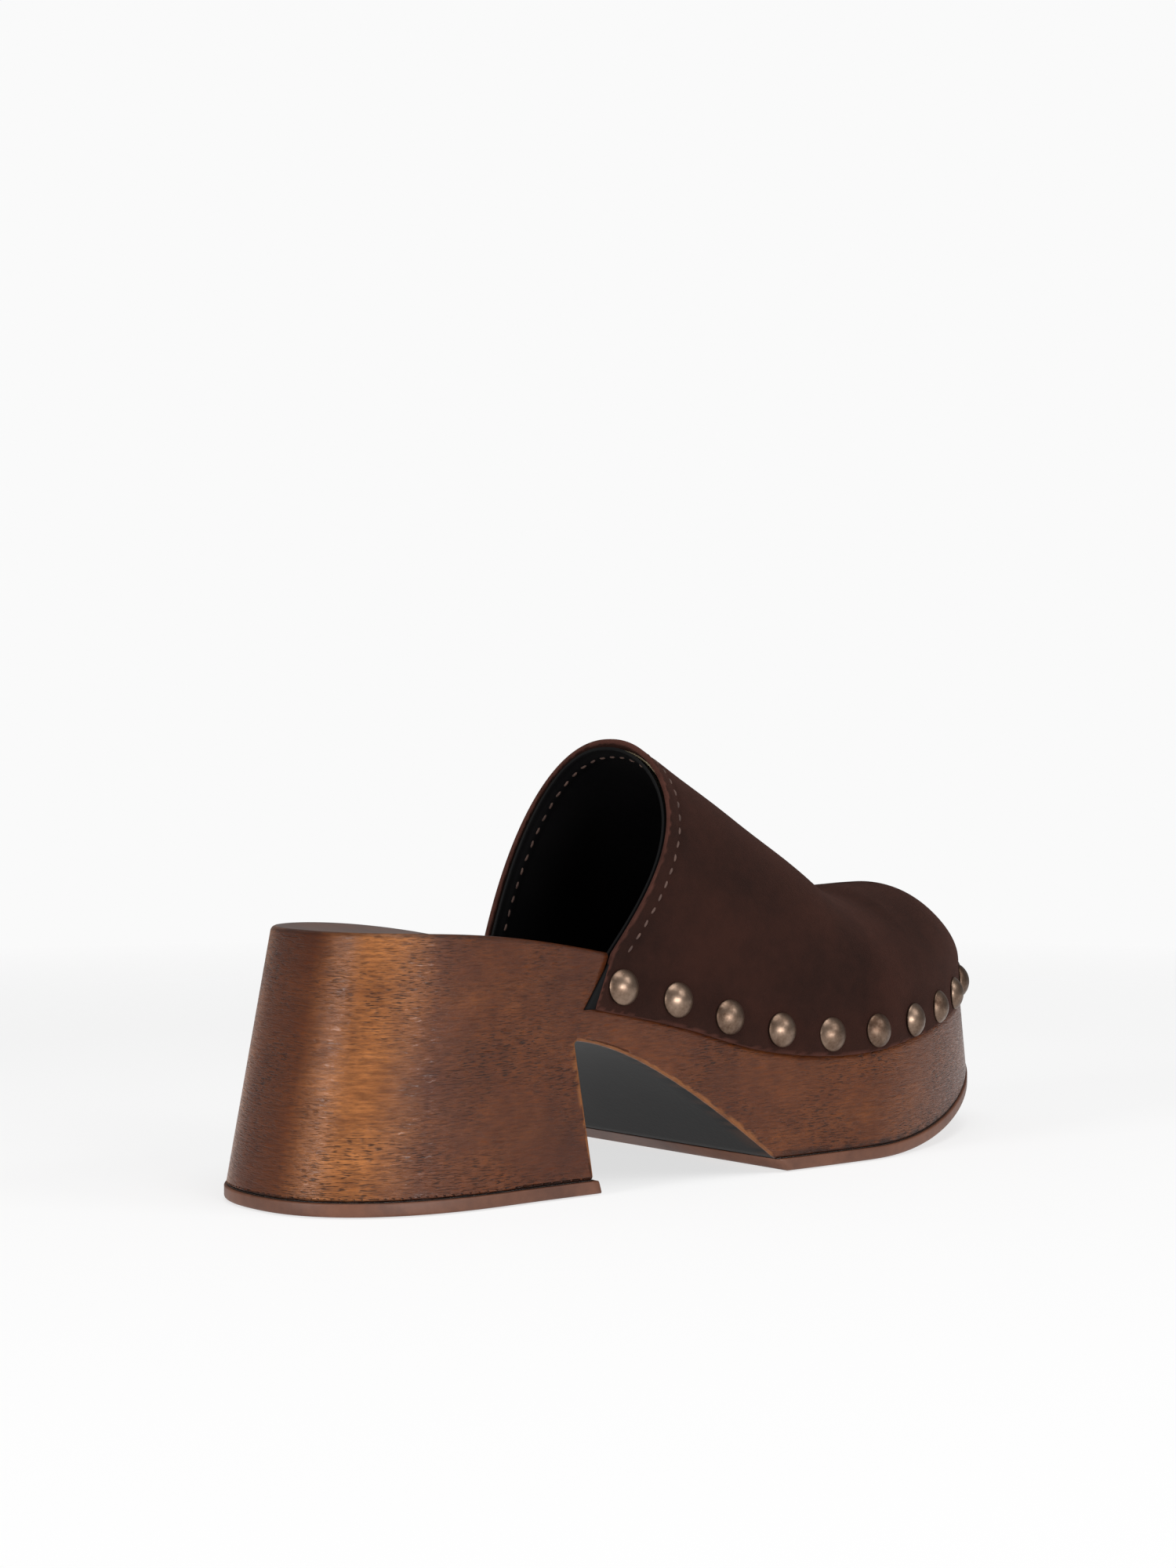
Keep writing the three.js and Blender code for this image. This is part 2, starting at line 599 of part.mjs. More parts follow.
// Places of the studs, evenly spaced along the nailed band from one rear end to the other.
function studPlaces() {
  const samples = [];
  const sample = (side, endX, forward) => {
    const rimX = mix(endX, UPPER_RIM.toe, forward);
    const above = mix(STUD_ABOVE_EDGE_REAR, STUD_ABOVE_EDGE_TOE, easeInOut(forward * STUD_EASE));
    const drop = 1 - above / (rimHeight(rimX) - upperEdgeHeight(rimX));
    const at = (moreForward, moreDrop) => bandPoint(
      side, mix(endX, UPPER_RIM.toe, forward + moreForward), drop + moreDrop, forward + moreForward,
    );
    const before = Math.min(SLOPE_STEP, forward);
    const after = Math.min(SLOPE_STEP, 1 - forward);
    const lengthways = at(after, 0).sub(at(-before, 0));
    const downwards = at(0, SLOPE_DROP).sub(at(0, -SLOPE_DROP));
    const normal = lengthways.cross(downwards).multiplyScalar(side).normalize();
    samples.push({ point: at(0, 0), normal });
  };
  const forwards = Array.from({ length: PATH_SAMPLES }, (_, i) => Math.sin(Math.PI / 2 * i / PATH_SAMPLES));
  for (const forward of forwards) sample(-1, TOPLINE_OUTER_X, forward);
  for (const forward of [...forwards].reverse()) sample(1, TOPLINE_INNER_X, forward);
  const distances = [0];
  for (let i = 1; i < samples.length; i += 1) {
    distances.push(distances[i - 1] + samples[i].point.distanceTo(samples[i - 1].point));
  }
  const total = distances[distances.length - 1];
  return Array.from({ length: STUD_COUNT }, (_, k) => {
    const wanted = mix(STUD_REAR_MARGIN, total - STUD_REAR_MARGIN, k / (STUD_COUNT - 1));
    return samples[distances.findIndex((distance) => distance >= wanted)];
  });
}

// Turns a piece made along +Y so that it stands on the surface at a stud place.
function standOn({ point, normal }) {
  const turn = new THREE.Quaternion().setFromUnitVectors(new THREE.Vector3(0, 1, 0), normal);
  return new THREE.Matrix4().compose(point, turn, new THREE.Vector3(1, 1, 1));
}

function studGeometry() {
  const seat = CLEARANCE;
  const sphere = (STUD_RADIUS ** 2 + (STUD_HEIGHT - STUD_LIP) ** 2) / (2 * (STUD_HEIGHT - STUD_LIP));
  const spread = Math.asin(STUD_RADIUS / sphere);
  const profile = [
    new THREE.Vector2(0, seat - NAIL_LENGTH),
    new THREE.Vector2(NAIL_RADIUS, seat - NAIL_LENGTH + NAIL_POINT),
    new THREE.Vector2(NAIL_RADIUS, seat),
    new THREE.Vector2(STUD_RADIUS, seat),
  ];
  for (let i = 0; i <= DOME_STEPS; i += 1) {
    const angle = spread * (1 - i / DOME_STEPS);
    const radius = i === DOME_STEPS ? 0 : sphere * Math.sin(angle);
    profile.push(new THREE.Vector2(radius, seat + STUD_HEIGHT - sphere * (1 - Math.cos(angle))));
  }
  return new THREE.LatheGeometry(profile, STUD_SIDES);
}

function nailHoles(places) {
  const deep = NAIL_LENGTH + HOLE_SPARE;
  const radius = NAIL_RADIUS + CLEARANCE;
  const bore = new THREE.CylinderGeometry(radius, radius, deep + HOLE_MOUTH, HOLE_SIDES);
  bore.translate(0, (HOLE_MOUTH - deep) / 2, 0);
  const holes = places.map((place) => geometryToManifold(bore.clone().applyMatrix4(standOn(place))));
  return holes.reduce((all, hole) => all.add(hole));
}

// ---------------------------------------------------------------- assembly

const materialOf = (color, roughness, metalness) => {
  return new THREE.MeshStandardMaterial({ color, roughness, metalness });
};
const LOOKS = {
  wood: () => materialOf(0x85512b, 0.35, 0),
  rubber: () => materialOf(0x5a3827, 0.6, 0),
  suede: () => materialOf(0x3c211a, 0.95, 0),
  lining: () => materialOf(0x0a0a0a, 0.6, 0),
  stiffener: () => materialOf(0xb9a988, 0.9, 0),
  thread: () => materialOf(0x6b5347, 0.8, 0),
  stud: () => materialOf(0x705c4f, 0.35, 1),
};

function addPiece(group, name, solid, look) {
  const mesh = new THREE.Mesh(manifoldToGeometry(solid), LOOKS[look]());
  mesh.name = name;
  group.add(mesh);
}

function buildClog() {
  const pieces = new THREE.Group();
  const places = studPlaces();
  const holes = nailHoles(places);
  addPiece(pieces, 'wooden_sole', plainSole().subtract(rebateCutter()).subtract(holes), 'wood');
  addPiece(pieces, 'heel_top_piece', heelTopPiece(), 'rubber');
  addPiece(pieces, 'forefoot_outsole', forefootOutsole(), 'rubber');
  addPiece(pieces, 'suede_upper', suedeUpper().subtract(holes), 'suede');
  addPiece(pieces, 'upper_lining', upperLining().subtract(holes), 'lining');
  addPiece(pieces, 'toe_puff', toePuff().subtract(holes), 'stiffener');
  addPiece(pieces, 'topline_tape', toplineTape(), 'stiffener');
  addPiece(pieces, 'needle_thread', seamThread(-(CLEARANCE + THREAD_RADIUS)), 'thread');
  addPiece(pieces, 'bobbin_thread', seamThread(LINING_DEPTH + LINING + CLEARANCE + THREAD_RADIUS), 'thread');
  places.forEach((place, i) => {
    const stud = geometryToManifold(studGeometry().applyMatrix4(standOn(place)));
    addPiece(pieces, `stud_${String(i + 1).padStart(2, '0')}`, stud, 'stud');
  });
  const clog = new THREE.Group();
  clog.add(pieces);
  const box = new THREE.Box3().setFromObject(pieces);
  const middle = box.getCenter(new THREE.Vector3());
  pieces.position.set(-middle.x, -middle.y, -box.min.z);
  return clog;
}

export default buildClog();
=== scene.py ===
# %% [markdown]
# # A wooden clog with a nailed suede upper
# The clog is a carved wooden sole with rubber treads, and a suede mule upper that is nailed
# round the edge of the wood with domed studs. Every visible piece is worked out here as a
# surface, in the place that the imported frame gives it. Shapes are thought out in millimetres
# in the shoe's own directions: X from the back of the heel to the toe, Y towards the inner
# side of the foot, Z up. One step at the end of each shape turns them into metres.

import bmesh
import bpy
import mathutils
import numpy as np
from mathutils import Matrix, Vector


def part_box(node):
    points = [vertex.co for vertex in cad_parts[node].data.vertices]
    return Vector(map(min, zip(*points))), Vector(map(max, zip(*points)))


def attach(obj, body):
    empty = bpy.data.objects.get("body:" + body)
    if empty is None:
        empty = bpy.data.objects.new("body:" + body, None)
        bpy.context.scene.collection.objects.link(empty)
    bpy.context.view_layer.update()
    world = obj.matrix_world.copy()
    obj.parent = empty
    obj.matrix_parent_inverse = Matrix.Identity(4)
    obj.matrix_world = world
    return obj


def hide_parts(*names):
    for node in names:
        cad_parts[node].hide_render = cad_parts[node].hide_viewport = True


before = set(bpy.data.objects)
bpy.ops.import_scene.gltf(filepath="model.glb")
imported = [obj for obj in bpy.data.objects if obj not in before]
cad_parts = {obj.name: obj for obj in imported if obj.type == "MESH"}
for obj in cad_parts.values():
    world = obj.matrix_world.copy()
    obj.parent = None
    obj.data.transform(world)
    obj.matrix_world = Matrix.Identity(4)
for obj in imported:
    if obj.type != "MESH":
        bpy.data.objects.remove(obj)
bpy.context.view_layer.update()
print("cad nodes:", len(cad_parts))

# %% [markdown]
# ## Sizes
# The frame holds the finished places, but not the curves behind them, so the driving sizes of
# the shoe are written here once more. Each surface below is finer than its CAD solid and
# follows the same curves, so it fills the same space.

# %% Driving sizes, in millimetres
MM = 0.001
GAP = 0.3
FLOOR = dict(back=0, heel_end=50, heel_half=36.2, heel_power=2.35, toe=253.5, toe_y=6,
             ball={-1: 167, 1: 182}, half={-1: 42.7, 1: 42.5}, power={-1: 1.45, 1: 2.0})
RIM = dict(back=13.5, heel_end=47, heel_half=30, heel_power=2.35, toe=244, toe_y=5,
           ball={-1: 172, 1: 184}, half={-1: 39, 1: 38.5}, power={-1: 1.55, 1: 2.0})
RIM_HEIGHT = [(11, 65), (50, 63.2), (86, 57.2), (112, 50.5), (145, 44.5), (178, 41.5), (210, 43.5),
              (242, 48)]
RIM_ROUND = 1.1
FOOTBED_DEPTH = [(13, 1.2), (40, 3), (90, 0.9), (165, 1.5), (245, 0.6)]
BREAST_BOTTOM = np.array([75, 3.5])
BREAST_TOP = np.array([71.8, 37])
ARCH_HANDLE_REAR = np.array([89.3, 35.4])
ARCH_HANDLE_FRONT = np.array([112, 19.3])
ARCH_END = np.array([132, 3.5])
RUBBER = 3.2
WOOD_BOTTOM = RUBBER + GAP
TOE_SPRING = 15.9
SPRING_FROM, SPRING_TO = 171, 250
OUTER, INNER = -1, 1

SUEDE, STIFFENER, LINING = 1.4, 0.4, 0.8
STIFFENER_DEPTH = SUEDE + GAP
LINING_DEPTH = STIFFENER_DEPTH + STIFFENER + GAP
WOOD_DEPTH = LINING_DEPTH + LINING + GAP
UPPER_EDGE = [(80, 44.6), (105, 38.8), (130, 31.4), (157, 28.2), (186, 30.3), (215, 34.6), (245, 39)]
EDGE_SLANT = 4.6
TOPLINE_TOP = 111.6
TOPLINE_END = {OUTER: 84.4, INNER: 96}
TOPLINE_POWER = {OUTER: 1.75, INNER: 1.2}
RIDGE = [(111.6, 110.2), (135, 96), (160, 80.4), (178, 69.6), (195, 69.4), (215, 69.8), (245, 66)]
TOE_ROUND_FROM, TOE_ROUND_POWER = 211.5, 1.7
THROAT_POWER, TOE_POWER = 2.2, 1.95
POWER_CHANGE = (120, 200)
SEAM_MARGIN = 3
STUD_COUNT = 21

# %% [markdown]
# ## Curves
# A maker draws a last with a few stations and a smooth curve through them. The same is done
# here: a Hermite curve through the stations, and superellipse quarters for the round ends.

# %% Curve helpers
def mix(a, b, share):
    """Straight blend: a at share 0, b at share 1."""
    return a + (b - a) * share


def ease(share):
    """Smooth step: 3s^2 - 2s^3 of the share, held between 0 and 1."""
    s = np.clip(share, 0, 1)
    return s * s * (3 - 2 * s)


def quarter_round(share, power):
    """Quarter of a superellipse: (1 - s^power)^(1/power), 1 at share 0 and 0 at share 1."""
    return np.maximum(0, 1 - np.clip(share, 0, 1) ** power) ** (1 / power)


def smooth_through(stations, x):
    """Cubic Hermite curve through [x, value] stations; each slope is that of its neighbours."""
    xs, ys = np.array(stations, float).T
    width = np.diff(xs)
    slope = np.diff(ys) / width
    tangent = np.empty_like(ys)
    tangent[1:-1] = (slope[:-1] * width[1:] + slope[1:] * width[:-1]) / (width[:-1] + width[1:])
    tangent[0] = 1.5 * slope[0] - 0.5 * tangent[1]
    tangent[-1] = 1.5 * slope[-1] - 0.5 * tangent[-2]
    i = np.clip(np.searchsorted(xs, x, side="right") - 1, 0, len(xs) - 2)
    h, u = width[i], (x - xs[i]) / width[i]
    start = ys[i] * (1 + 2 * u) * (1 - u) ** 2 + tangent[i] * h * u * (1 - u) ** 2
    return start + ys[i + 1] * u * u * (3 - 2 * u) + tangent[i + 1] * h * u * u * (u - 1)


def unit(vectors):
    """Each vector divided by its own length."""
    return vectors / np.maximum(np.linalg.norm(vectors, axis=-1, keepdims=True), 1e-12)


# %% The wall of the sole
def grown(outline, sides, toe, back=0):
    """The outline made larger at its sides, its toe and its back."""
    larger = dict(outline)
    larger["heel_half"] = outline["heel_half"] + sides
    larger["half"] = {side: half + sides for side, half in outline["half"].items()}
    larger["toe"] = outline["toe"] + toe
    larger["back"] = outline["back"] - back
    return larger


def moved_in(inset):
    """The rim and floor outlines, both moved inwards all round."""
    return [grown(outline, -inset, -inset, -inset) for outline in (RIM, FLOOR)]


def outline_y(outline, side, x):
    """Half width at x: a superellipse round the heel, an eased widening to the ball, and a
    superellipse quarter from the ball to the toe."""
    heel = outline["heel_half"] * quarter_round(
        (outline["heel_end"] - x) / (outline["heel_end"] - outline["back"]), outline["heel_power"])
    ball, half = outline["ball"][side], outline["half"][side]
    waist = mix(outline["heel_half"], half, ease((x - outline["heel_end"]) / (ball - outline["heel_end"])))
    toe_y = side * outline["toe_y"]
    toe = mix(toe_y, half, quarter_round((x - ball) / (outline["toe"] - ball), outline["power"][side]))
    return side * np.where(x < outline["heel_end"], heel, np.where(x < ball, waist, toe))


def place_to_x(outline, place):
    """Place 0 is the back and 1 the toe, with cosine spacing so that the round ends are fine."""
    return mix(outline["back"], outline["toe"], (1 - np.cos(np.pi * place)) / 2)


def x_to_place(outline, x):
    """The inverse of place_to_x."""
    share = np.clip((x - outline["back"]) / (outline["toe"] - outline["back"]), 0, 1)
    return np.arccos(1 - 2 * share) / np.pi


def rim_height(x):
    """Height of the top edge of the wood at x."""
    return smooth_through(RIM_HEIGHT, x)


def wall(side, place, z, rim=RIM, floor=FLOOR):
    """Ruled wall: the straight line from the rim outline down to the floor outline, at height z."""
    rim_x, floor_x = place_to_x(rim, place), place_to_x(floor, place)
    drop = 1 - z / rim_height(rim_x)
    x = mix(rim_x, floor_x, drop)
    y = mix(outline_y(rim, side, rim_x), outline_y(floor, side, floor_x), drop)
    return np.stack(np.broadcast_arrays(x, y, z), axis=-1)


HALVINGS = 45


def place_of(x, z):
    """The place whose wall line passes through (x, z), found by halving the interval."""
    x, z = np.broadcast_arrays(np.asarray(x, float), np.asarray(z, float))
    low, high = np.zeros(x.shape), np.ones(x.shape)
    for _ in range(HALVINGS):
        middle = (low + high) / 2
        short = wall(OUTER, middle, z)[..., 0] < x
        low, high = np.where(short, middle, low), np.where(short, high, middle)
    return (low + high) / 2


OUTLINE_STEPS = 800
lowest, highest = (np.array(corner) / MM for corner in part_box("wooden_sole"))
all_places = np.linspace(0, 1, OUTLINE_STEPS)
base_line = np.concatenate([wall(side, all_places, WOOD_BOTTOM) for side in (OUTER, INNER)])
base_middle = (base_line.min(axis=0) + base_line.max(axis=0)) / 2
SHOE_ORIGIN = np.array([lowest[0] - base_line[:, 0].min(), (lowest[1] + highest[1]) / 2 - base_middle[1],
                        lowest[2] - WOOD_BOTTOM])
print("shoe origin in the row frame, mm:", SHOE_ORIGIN.round(3))

# %% [markdown]
# ## Turning surfaces into pieces
# A piece is a list of patches, and each patch is a grid of points. The patches are joined
# where their edges meet, which closes seams and poles, and the faces are then turned outwards
# together. A patch may carry a UV place for a pattern that follows it, a finish number, and an
# edge tone, which darkens or wears the finish.

# %% The mesh helper
UV_NAME = "grain"
TONE_NAME = "edge_tone"
WELD = 2e-6


def add_object(name, data):
    """A new object in the scene, at the origin."""
    made = bpy.data.objects.new(name, data)
    bpy.context.scene.collection.objects.link(made)
    return made


def patch(points, uv=None, finish=0, tone=0.0):
    """One grid of points with its pattern place, its finish and its edge tone."""
    uv = points[..., :2] if uv is None else uv
    tone = np.broadcast_to(np.asarray(tone, float), points.shape[:2])
    return dict(points=points, uv=uv, finish=finish, tone=tone)


def make_piece(name, patches, materials, stands_for=()):
    """Joins the patches into one closed mesh whose faces point outwards, and puts it on the frame."""
    places, uvs, tones, faces, finishes = [], [], [], [], []
    start = 0
    for part in patches:
        rows, columns = part["points"].shape[:2]
        index = np.arange(rows * columns).reshape(rows, columns) + start
        quads = np.stack([index[:-1, :-1], index[:-1, 1:], index[1:, 1:], index[1:, :-1]], axis=-1)
        faces.append(quads.reshape(-1, 4))
        finishes.append(np.full(quads.shape[0] * quads.shape[1], part["finish"]))
        places.append(part["points"].reshape(-1, 3))
        uvs.append(part["uv"].reshape(-1, 2))
        tones.append(part["tone"].reshape(-1))
        start += rows * columns
    points = (np.concatenate(places) + SHOE_ORIGIN) * MM
    faces = np.concatenate(faces)
    mesh = bpy.data.meshes.new(name)
    mesh.from_pydata(points, [], faces)
    mesh.polygons.foreach_set("material_index", np.concatenate(finishes).astype(np.int32))
    corner_uvs = (np.concatenate(uvs) * MM)[faces.ravel()]
    mesh.uv_layers.new(name=UV_NAME).data.foreach_set("uv", corner_uvs.ravel())
    tone_layer = mesh.attributes.new(TONE_NAME, "FLOAT", "POINT").data
    tone_layer.foreach_set("value", np.concatenate(tones).astype(np.float32))
    weld = bmesh.new()
    weld.from_mesh(mesh)
    bmesh.ops.remove_doubles(weld, verts=weld.verts, dist=WELD)
    bmesh.ops.recalc_face_normals(weld, faces=weld.faces)
    open_edges = sum(not edge.is_manifold for edge in weld.edges)
    weld.to_mesh(mesh)
    weld.free()
    mesh.shade_smooth()
    for material in materials:
        mesh.materials.append(material)
    piece = add_object(name, mesh)
    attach(piece, "root")
    if stands_for:
        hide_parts(*stands_for)
    print(f"{name}: {len(mesh.polygons)} faces, {open_edges} open edges")
    return piece


def coons(bottom, top, left, right):
    """Grid between four edge curves: the two straight blends less the blend of the corners."""
    u = np.linspace(0, 1, len(bottom))[None, :, None]
    v = np.linspace(0, 1, len(left))[:, None, None]
    across = mix(bottom[None], top[None], v)
    along = mix(left[:, None], right[:, None], u)
    corners = mix(mix(bottom[0], bottom[-1], u), mix(top[0], top[-1], u), v)
    return across + along - corners


# %% [markdown]
# ## The wooden sole
# The real sole is one carved block. It could be cut from a block with booleans, but those leave
# long thin faces that spoil a glossy finish. Here its wall is mapped instead: any point of the
# wall is a place along the outline and a height, so the wall is laid out flat, divided into
# blocks that follow the heel breast, the arch and the edge of the upper, and lifted into shape.

# %% The underside, seen from the side
HEEL_COLUMNS, BREAST_ROWS, ARCH_COLUMNS, FRONT_COLUMNS = 44, 26, 44, 70
CORNER = 1.2
SETTLING_ROUNDS = 8


def bezier(points, t):
    """Bezier curve of any degree, by repeated straight blends of its points."""
    level = [np.broadcast_to(p, (len(t), 2)) for p in points]
    while len(level) > 1:
        level = [mix(a, b, t[:, None]) for a, b in zip(level, level[1:])]
    return level[0]


def forefoot_bottom(x):
    """Height of the wood from the arch forwards: flat, then a parabola up to the toe."""
    return WOOD_BOTTOM + TOE_SPRING * np.maximum(0, (x - SPRING_FROM) / (SPRING_TO - SPRING_FROM)) ** 2


breast_direction = unit(BREAST_TOP - BREAST_BOTTOM)
arch_direction = unit(ARCH_HANDLE_REAR - BREAST_TOP)
corner_steps = np.linspace(0, 1, 6)
lower_corner = bezier(
    [BREAST_BOTTOM - [CORNER, 0], BREAST_BOTTOM, BREAST_BOTTOM + CORNER * breast_direction], corner_steps)
upper_corner = bezier(
    [BREAST_TOP - CORNER * breast_direction, BREAST_TOP, BREAST_TOP + CORNER * arch_direction], corner_steps)
breast = mix(lower_corner[-1], upper_corner[0], np.linspace(0, 1, BREAST_ROWS)[1:-1, None])
ARCH_START_T = 0.024
arch = bezier([BREAST_TOP, ARCH_HANDLE_REAR, ARCH_HANDLE_FRONT, ARCH_END],
              np.linspace(ARCH_START_T, 1, ARCH_COLUMNS)[1:])


def heel_bottom(x):
    """The wood over the heel tread is flat."""
    return x * 0 + WOOD_BOTTOM


def as_place(points):
    """(place, height) of points given as (x, height)."""
    return np.stack([place_of(points[:, 0], points[:, 1]), points[:, 1]], axis=-1)


def with_bottom(places, bottom):
    """Gives each place its height on the underside, settled in a few rounds."""
    z = np.full(places.shape, float(WOOD_BOTTOM))
    for _ in range(SETTLING_ROUNDS):
        z = bottom(wall(OUTER, places, z)[..., 0])
    return np.stack([places, z], axis=-1)


heel_place = place_of(lower_corner[0, 0], WOOD_BOTTOM)
heel_line = with_bottom(np.linspace(0, heel_place, HEEL_COLUMNS)[:-1], heel_bottom)
arch_line = as_place(np.concatenate([upper_corner[2:], arch]))
front_line = with_bottom(np.linspace(arch_line[-1, 0], 1, FRONT_COLUMNS)[1:], forefoot_bottom)
HALF_CORNER = 3
heel_side = np.concatenate([heel_line, as_place(lower_corner[:HALF_CORNER])])
breast_side = as_place(np.concatenate([lower_corner[HALF_CORNER - 1:], breast, upper_corner[:HALF_CORNER]]))
forward_side = np.concatenate([arch_line, front_line])
breast_top = breast_side[-1]
print("underside points:", len(heel_side), len(breast_side), len(forward_side))

# %% Blocks of the wall
LOWER_ROWS, UPPER_ROWS, ROUND_ROWS = 12, 10, 5
REBATE_STEP = 0.6
REBATE_GAP = 0.25
PROUD_SIDE, PROUD_TOE = 1.2, 0.3
UPPER_RIM = grown(RIM, PROUD_SIDE, PROUD_TOE)
UPPER_FLOOR = grown(FLOOR, PROUD_SIDE, PROUD_TOE)


def top_of_wall(places):
    """The wall's points just under the softened rim."""
    return np.stack([places, rim_height(place_to_x(RIM, places)) - RIM_ROUND], axis=-1)


def ramp(count):
    """Even steps from 0 to 1."""
    return np.linspace(0, 1, count)[:, None]


def heel_blocks():
    """The heel below the arch, and the same columns on up to the rim, as (place, height) grids."""
    flat_top = np.linspace([0, breast_top[1]], breast_top, len(heel_side))
    rise = (breast_side[:, 1] - WOOD_BOTTOM) / (breast_top[1] - WOOD_BOTTOM)
    back = np.stack([np.zeros(len(breast_side)), mix(WOOD_BOTTOM, breast_top[1], rise)], axis=-1)
    lower = coons(heel_side, flat_top, back, breast_side)
    shares = ramp(LOWER_ROWS + UPPER_ROWS + 1)[:, None]
    upper = mix(flat_top[None], top_of_wall(flat_top[:, 0])[None], shares)
    return lower, upper


def band_columns(side, places):
    """Rim positions of the nailed band's columns, spread from its rear end to the toe as the
    given places are, and the share of the way forward that each has come."""
    share = (places - places[0]) / (1 - places[0])
    rear = TOPLINE_END[side] - GAP
    rim_x = place_to_x(UPPER_RIM, mix(x_to_place(UPPER_RIM, rear), 1, share))
    return rim_x, (rim_x - rear) / (UPPER_RIM["toe"] - rear)


def rear_edge(side, rise, behind):
    """Line of the upper's rear end on the wall, from its lower corner at rise 0 to the softened
    rim at rise 1; it leans back by the slant as it goes down."""
    x = TOPLINE_END[side] - behind - EDGE_SLANT * (1 - rise)
    place = x_to_place(RIM, x)
    z = mix(smooth_through(UPPER_EDGE, x) - REBATE_GAP, top_of_wall(place)[..., 1], rise)
    return np.stack([place, z], axis=-1)


def forward_blocks(side):
    """The wall between the breast and the rear end of the upper, and the wall under the upper."""
    edge_line = rear_edge(side, np.linspace(0, 1, UPPER_ROWS + 1), GAP + REBATE_STEP)
    meets = meeting_column(side)
    below_edge = mix(forward_side[meets], edge_line[0], ramp(LOWER_ROWS + 1))
    divide = np.concatenate([below_edge, edge_line[1:]])
    rear_bottom = forward_side[:meets + 1]
    first = np.linspace(breast_top, top_of_wall(breast_top[0]), LOWER_ROWS + UPPER_ROWS + 1)
    rear_top = top_of_wall(np.linspace(breast_top[0], divide[-1, 0], len(rear_bottom)))
    rear = coons(rear_bottom, rear_top, first, divide)
    front_bottom = forward_side[meets:]
    rim_x, forward = band_columns(side, front_bottom[:, 0])
    x = rim_x - REBATE_STEP * (1 - forward) - EDGE_SLANT * (1 - forward) ** 4
    edge = np.stack([x_to_place(UPPER_RIM, x), smooth_through(UPPER_EDGE, x) - REBATE_GAP], axis=-1)
    edge[0] = divide[LOWER_ROWS]
    toe_line = mix(front_bottom[-1], edge[-1], ramp(LOWER_ROWS + 1))
    front = coons(front_bottom, edge, below_edge, toe_line)
    return rear, front


def rim_rows(side, places):
    """The softened rim: a quarter circle from the top of the wall inwards to the footbed."""
    rows = []
    for turn in np.linspace(0, np.pi / 2, ROUND_ROWS + 1)[1:]:
        inset = RIM_ROUND * (1 - np.cos(turn))
        rim, floor = moved_in(inset)
        z = rim_height(place_to_x(RIM, places)) - RIM_ROUND * (1 - np.sin(turn))
        rows.append(wall(side, places, z, rim, floor))
    return np.stack(rows)


# %% The step under the upper
def band(side, rim_x, drop, forward):
    """Outer face of the nailed band: drop 0 is the rim and 1 the lower edge, on the flared wall."""
    x = rim_x - EDGE_SLANT * drop * (1 - forward) ** 4
    z = mix(rim_height(x), smooth_through(UPPER_EDGE, x), drop)
    return wall(side, x_to_place(UPPER_RIM, x), z, UPPER_RIM, UPPER_FLOOR)


def rebate_faces():
    """The wood under the band: the band's outer face moved inwards by the depth of its layers.
    Both sides are one grid, so that the directions agree at the toe, and are parted again."""
    drops = np.linspace(1, 0, UPPER_ROWS + ROUND_ROWS + 1)[:, None]
    grids = {}
    for side in (OUTER, INNER):
        meets = meeting_column(side)
        rim_x, forward = band_columns(side, forward_side[meets:, 0])
        grids[side] = band(side, rim_x[None], drops, forward[None])
    around = np.concatenate([grids[OUTER], grids[INNER][:, -2::-1]], axis=1)
    outward = unit(np.cross(np.gradient(around, axis=1), np.gradient(around, axis=0)))
    moved = around - WOOD_DEPTH * outward
    moved[-1, :, 2] = rim_height(moved[-1, :, 0])
    toe = grids[OUTER].shape[1]
    return {OUTER: moved[:, :toe], INNER: moved[:, :toe - 2:-1]}


def meeting_column(side):
    """Column of the forward wall that runs into the rear lower corner of the upper."""
    corner = rear_edge(side, 0.0, GAP + REBATE_STEP)
    return int(np.searchsorted(forward_side[:, 0], corner[0]))


# %% Edges of the underside
EDGE_ROUND = 0.8
EDGE_STEPS = np.linspace(0, 1, 5)
SLOPE_STEP = 0.004
side_path = np.concatenate([heel_side, breast_side[1:], forward_side[1:]])


def edge_strip(side):
    """Rounds the edge between wall and underside: a quadratic Bezier whose ends lie in the two
    faces and whose handle is the sharp edge."""
    places, z = side_path.T
    edge = wall(side, places, z)
    tangent = unit(np.gradient(edge[:, [0, 2]], axis=0))
    down = np.stack([tangent[:, 1], 0 * places, -tangent[:, 0]], axis=-1)
    inside = np.clip(places, 2 * SLOPE_STEP, 1 - 2 * SLOPE_STEP)
    along = wall(side, inside + SLOPE_STEP, z) - wall(side, inside - SLOPE_STEP, z)
    up = wall(side, inside, z + 1) - wall(side, inside, z)
    outward = unit(np.cross(along, up)) * -side
    outward[[0, -1], 1] = 0
    outward = unit(outward)
    lean = (down * outward).sum(axis=-1, keepdims=True)
    into_wall = unit(lean * outward - down) * EDGE_ROUND
    into_base = unit(lean * down - outward) * EDGE_ROUND
    t = EDGE_STEPS[:, None, None]
    return (1 - t) ** 2 * (edge + into_wall) + 2 * t * (1 - t) * edge + t ** 2 * (edge + into_base)


edge_strips = {side: edge_strip(side) for side in (OUTER, INNER)}
for end in (0, -1):
    shared = (edge_strips[OUTER][:, end] + edge_strips[INNER][:, end]) / 2
    edge_strips[OUTER][:, end] = edge_strips[INNER][:, end] = shared


# %% Build the sole
ACROSS = np.linspace(0, 1, 45)
# Edge tones: 1 moves an edge towards its worn colour, and -1 makes it darker.
WORN, DARKENED = 1.0, -1.0
GRAIN_HEIGHT, GRAIN_STEPS = 28, 400
BLACK_FROM = len(heel_side) - 2
BLACK_TO = len(heel_side) + len(breast_side) + len(arch_line) - 3


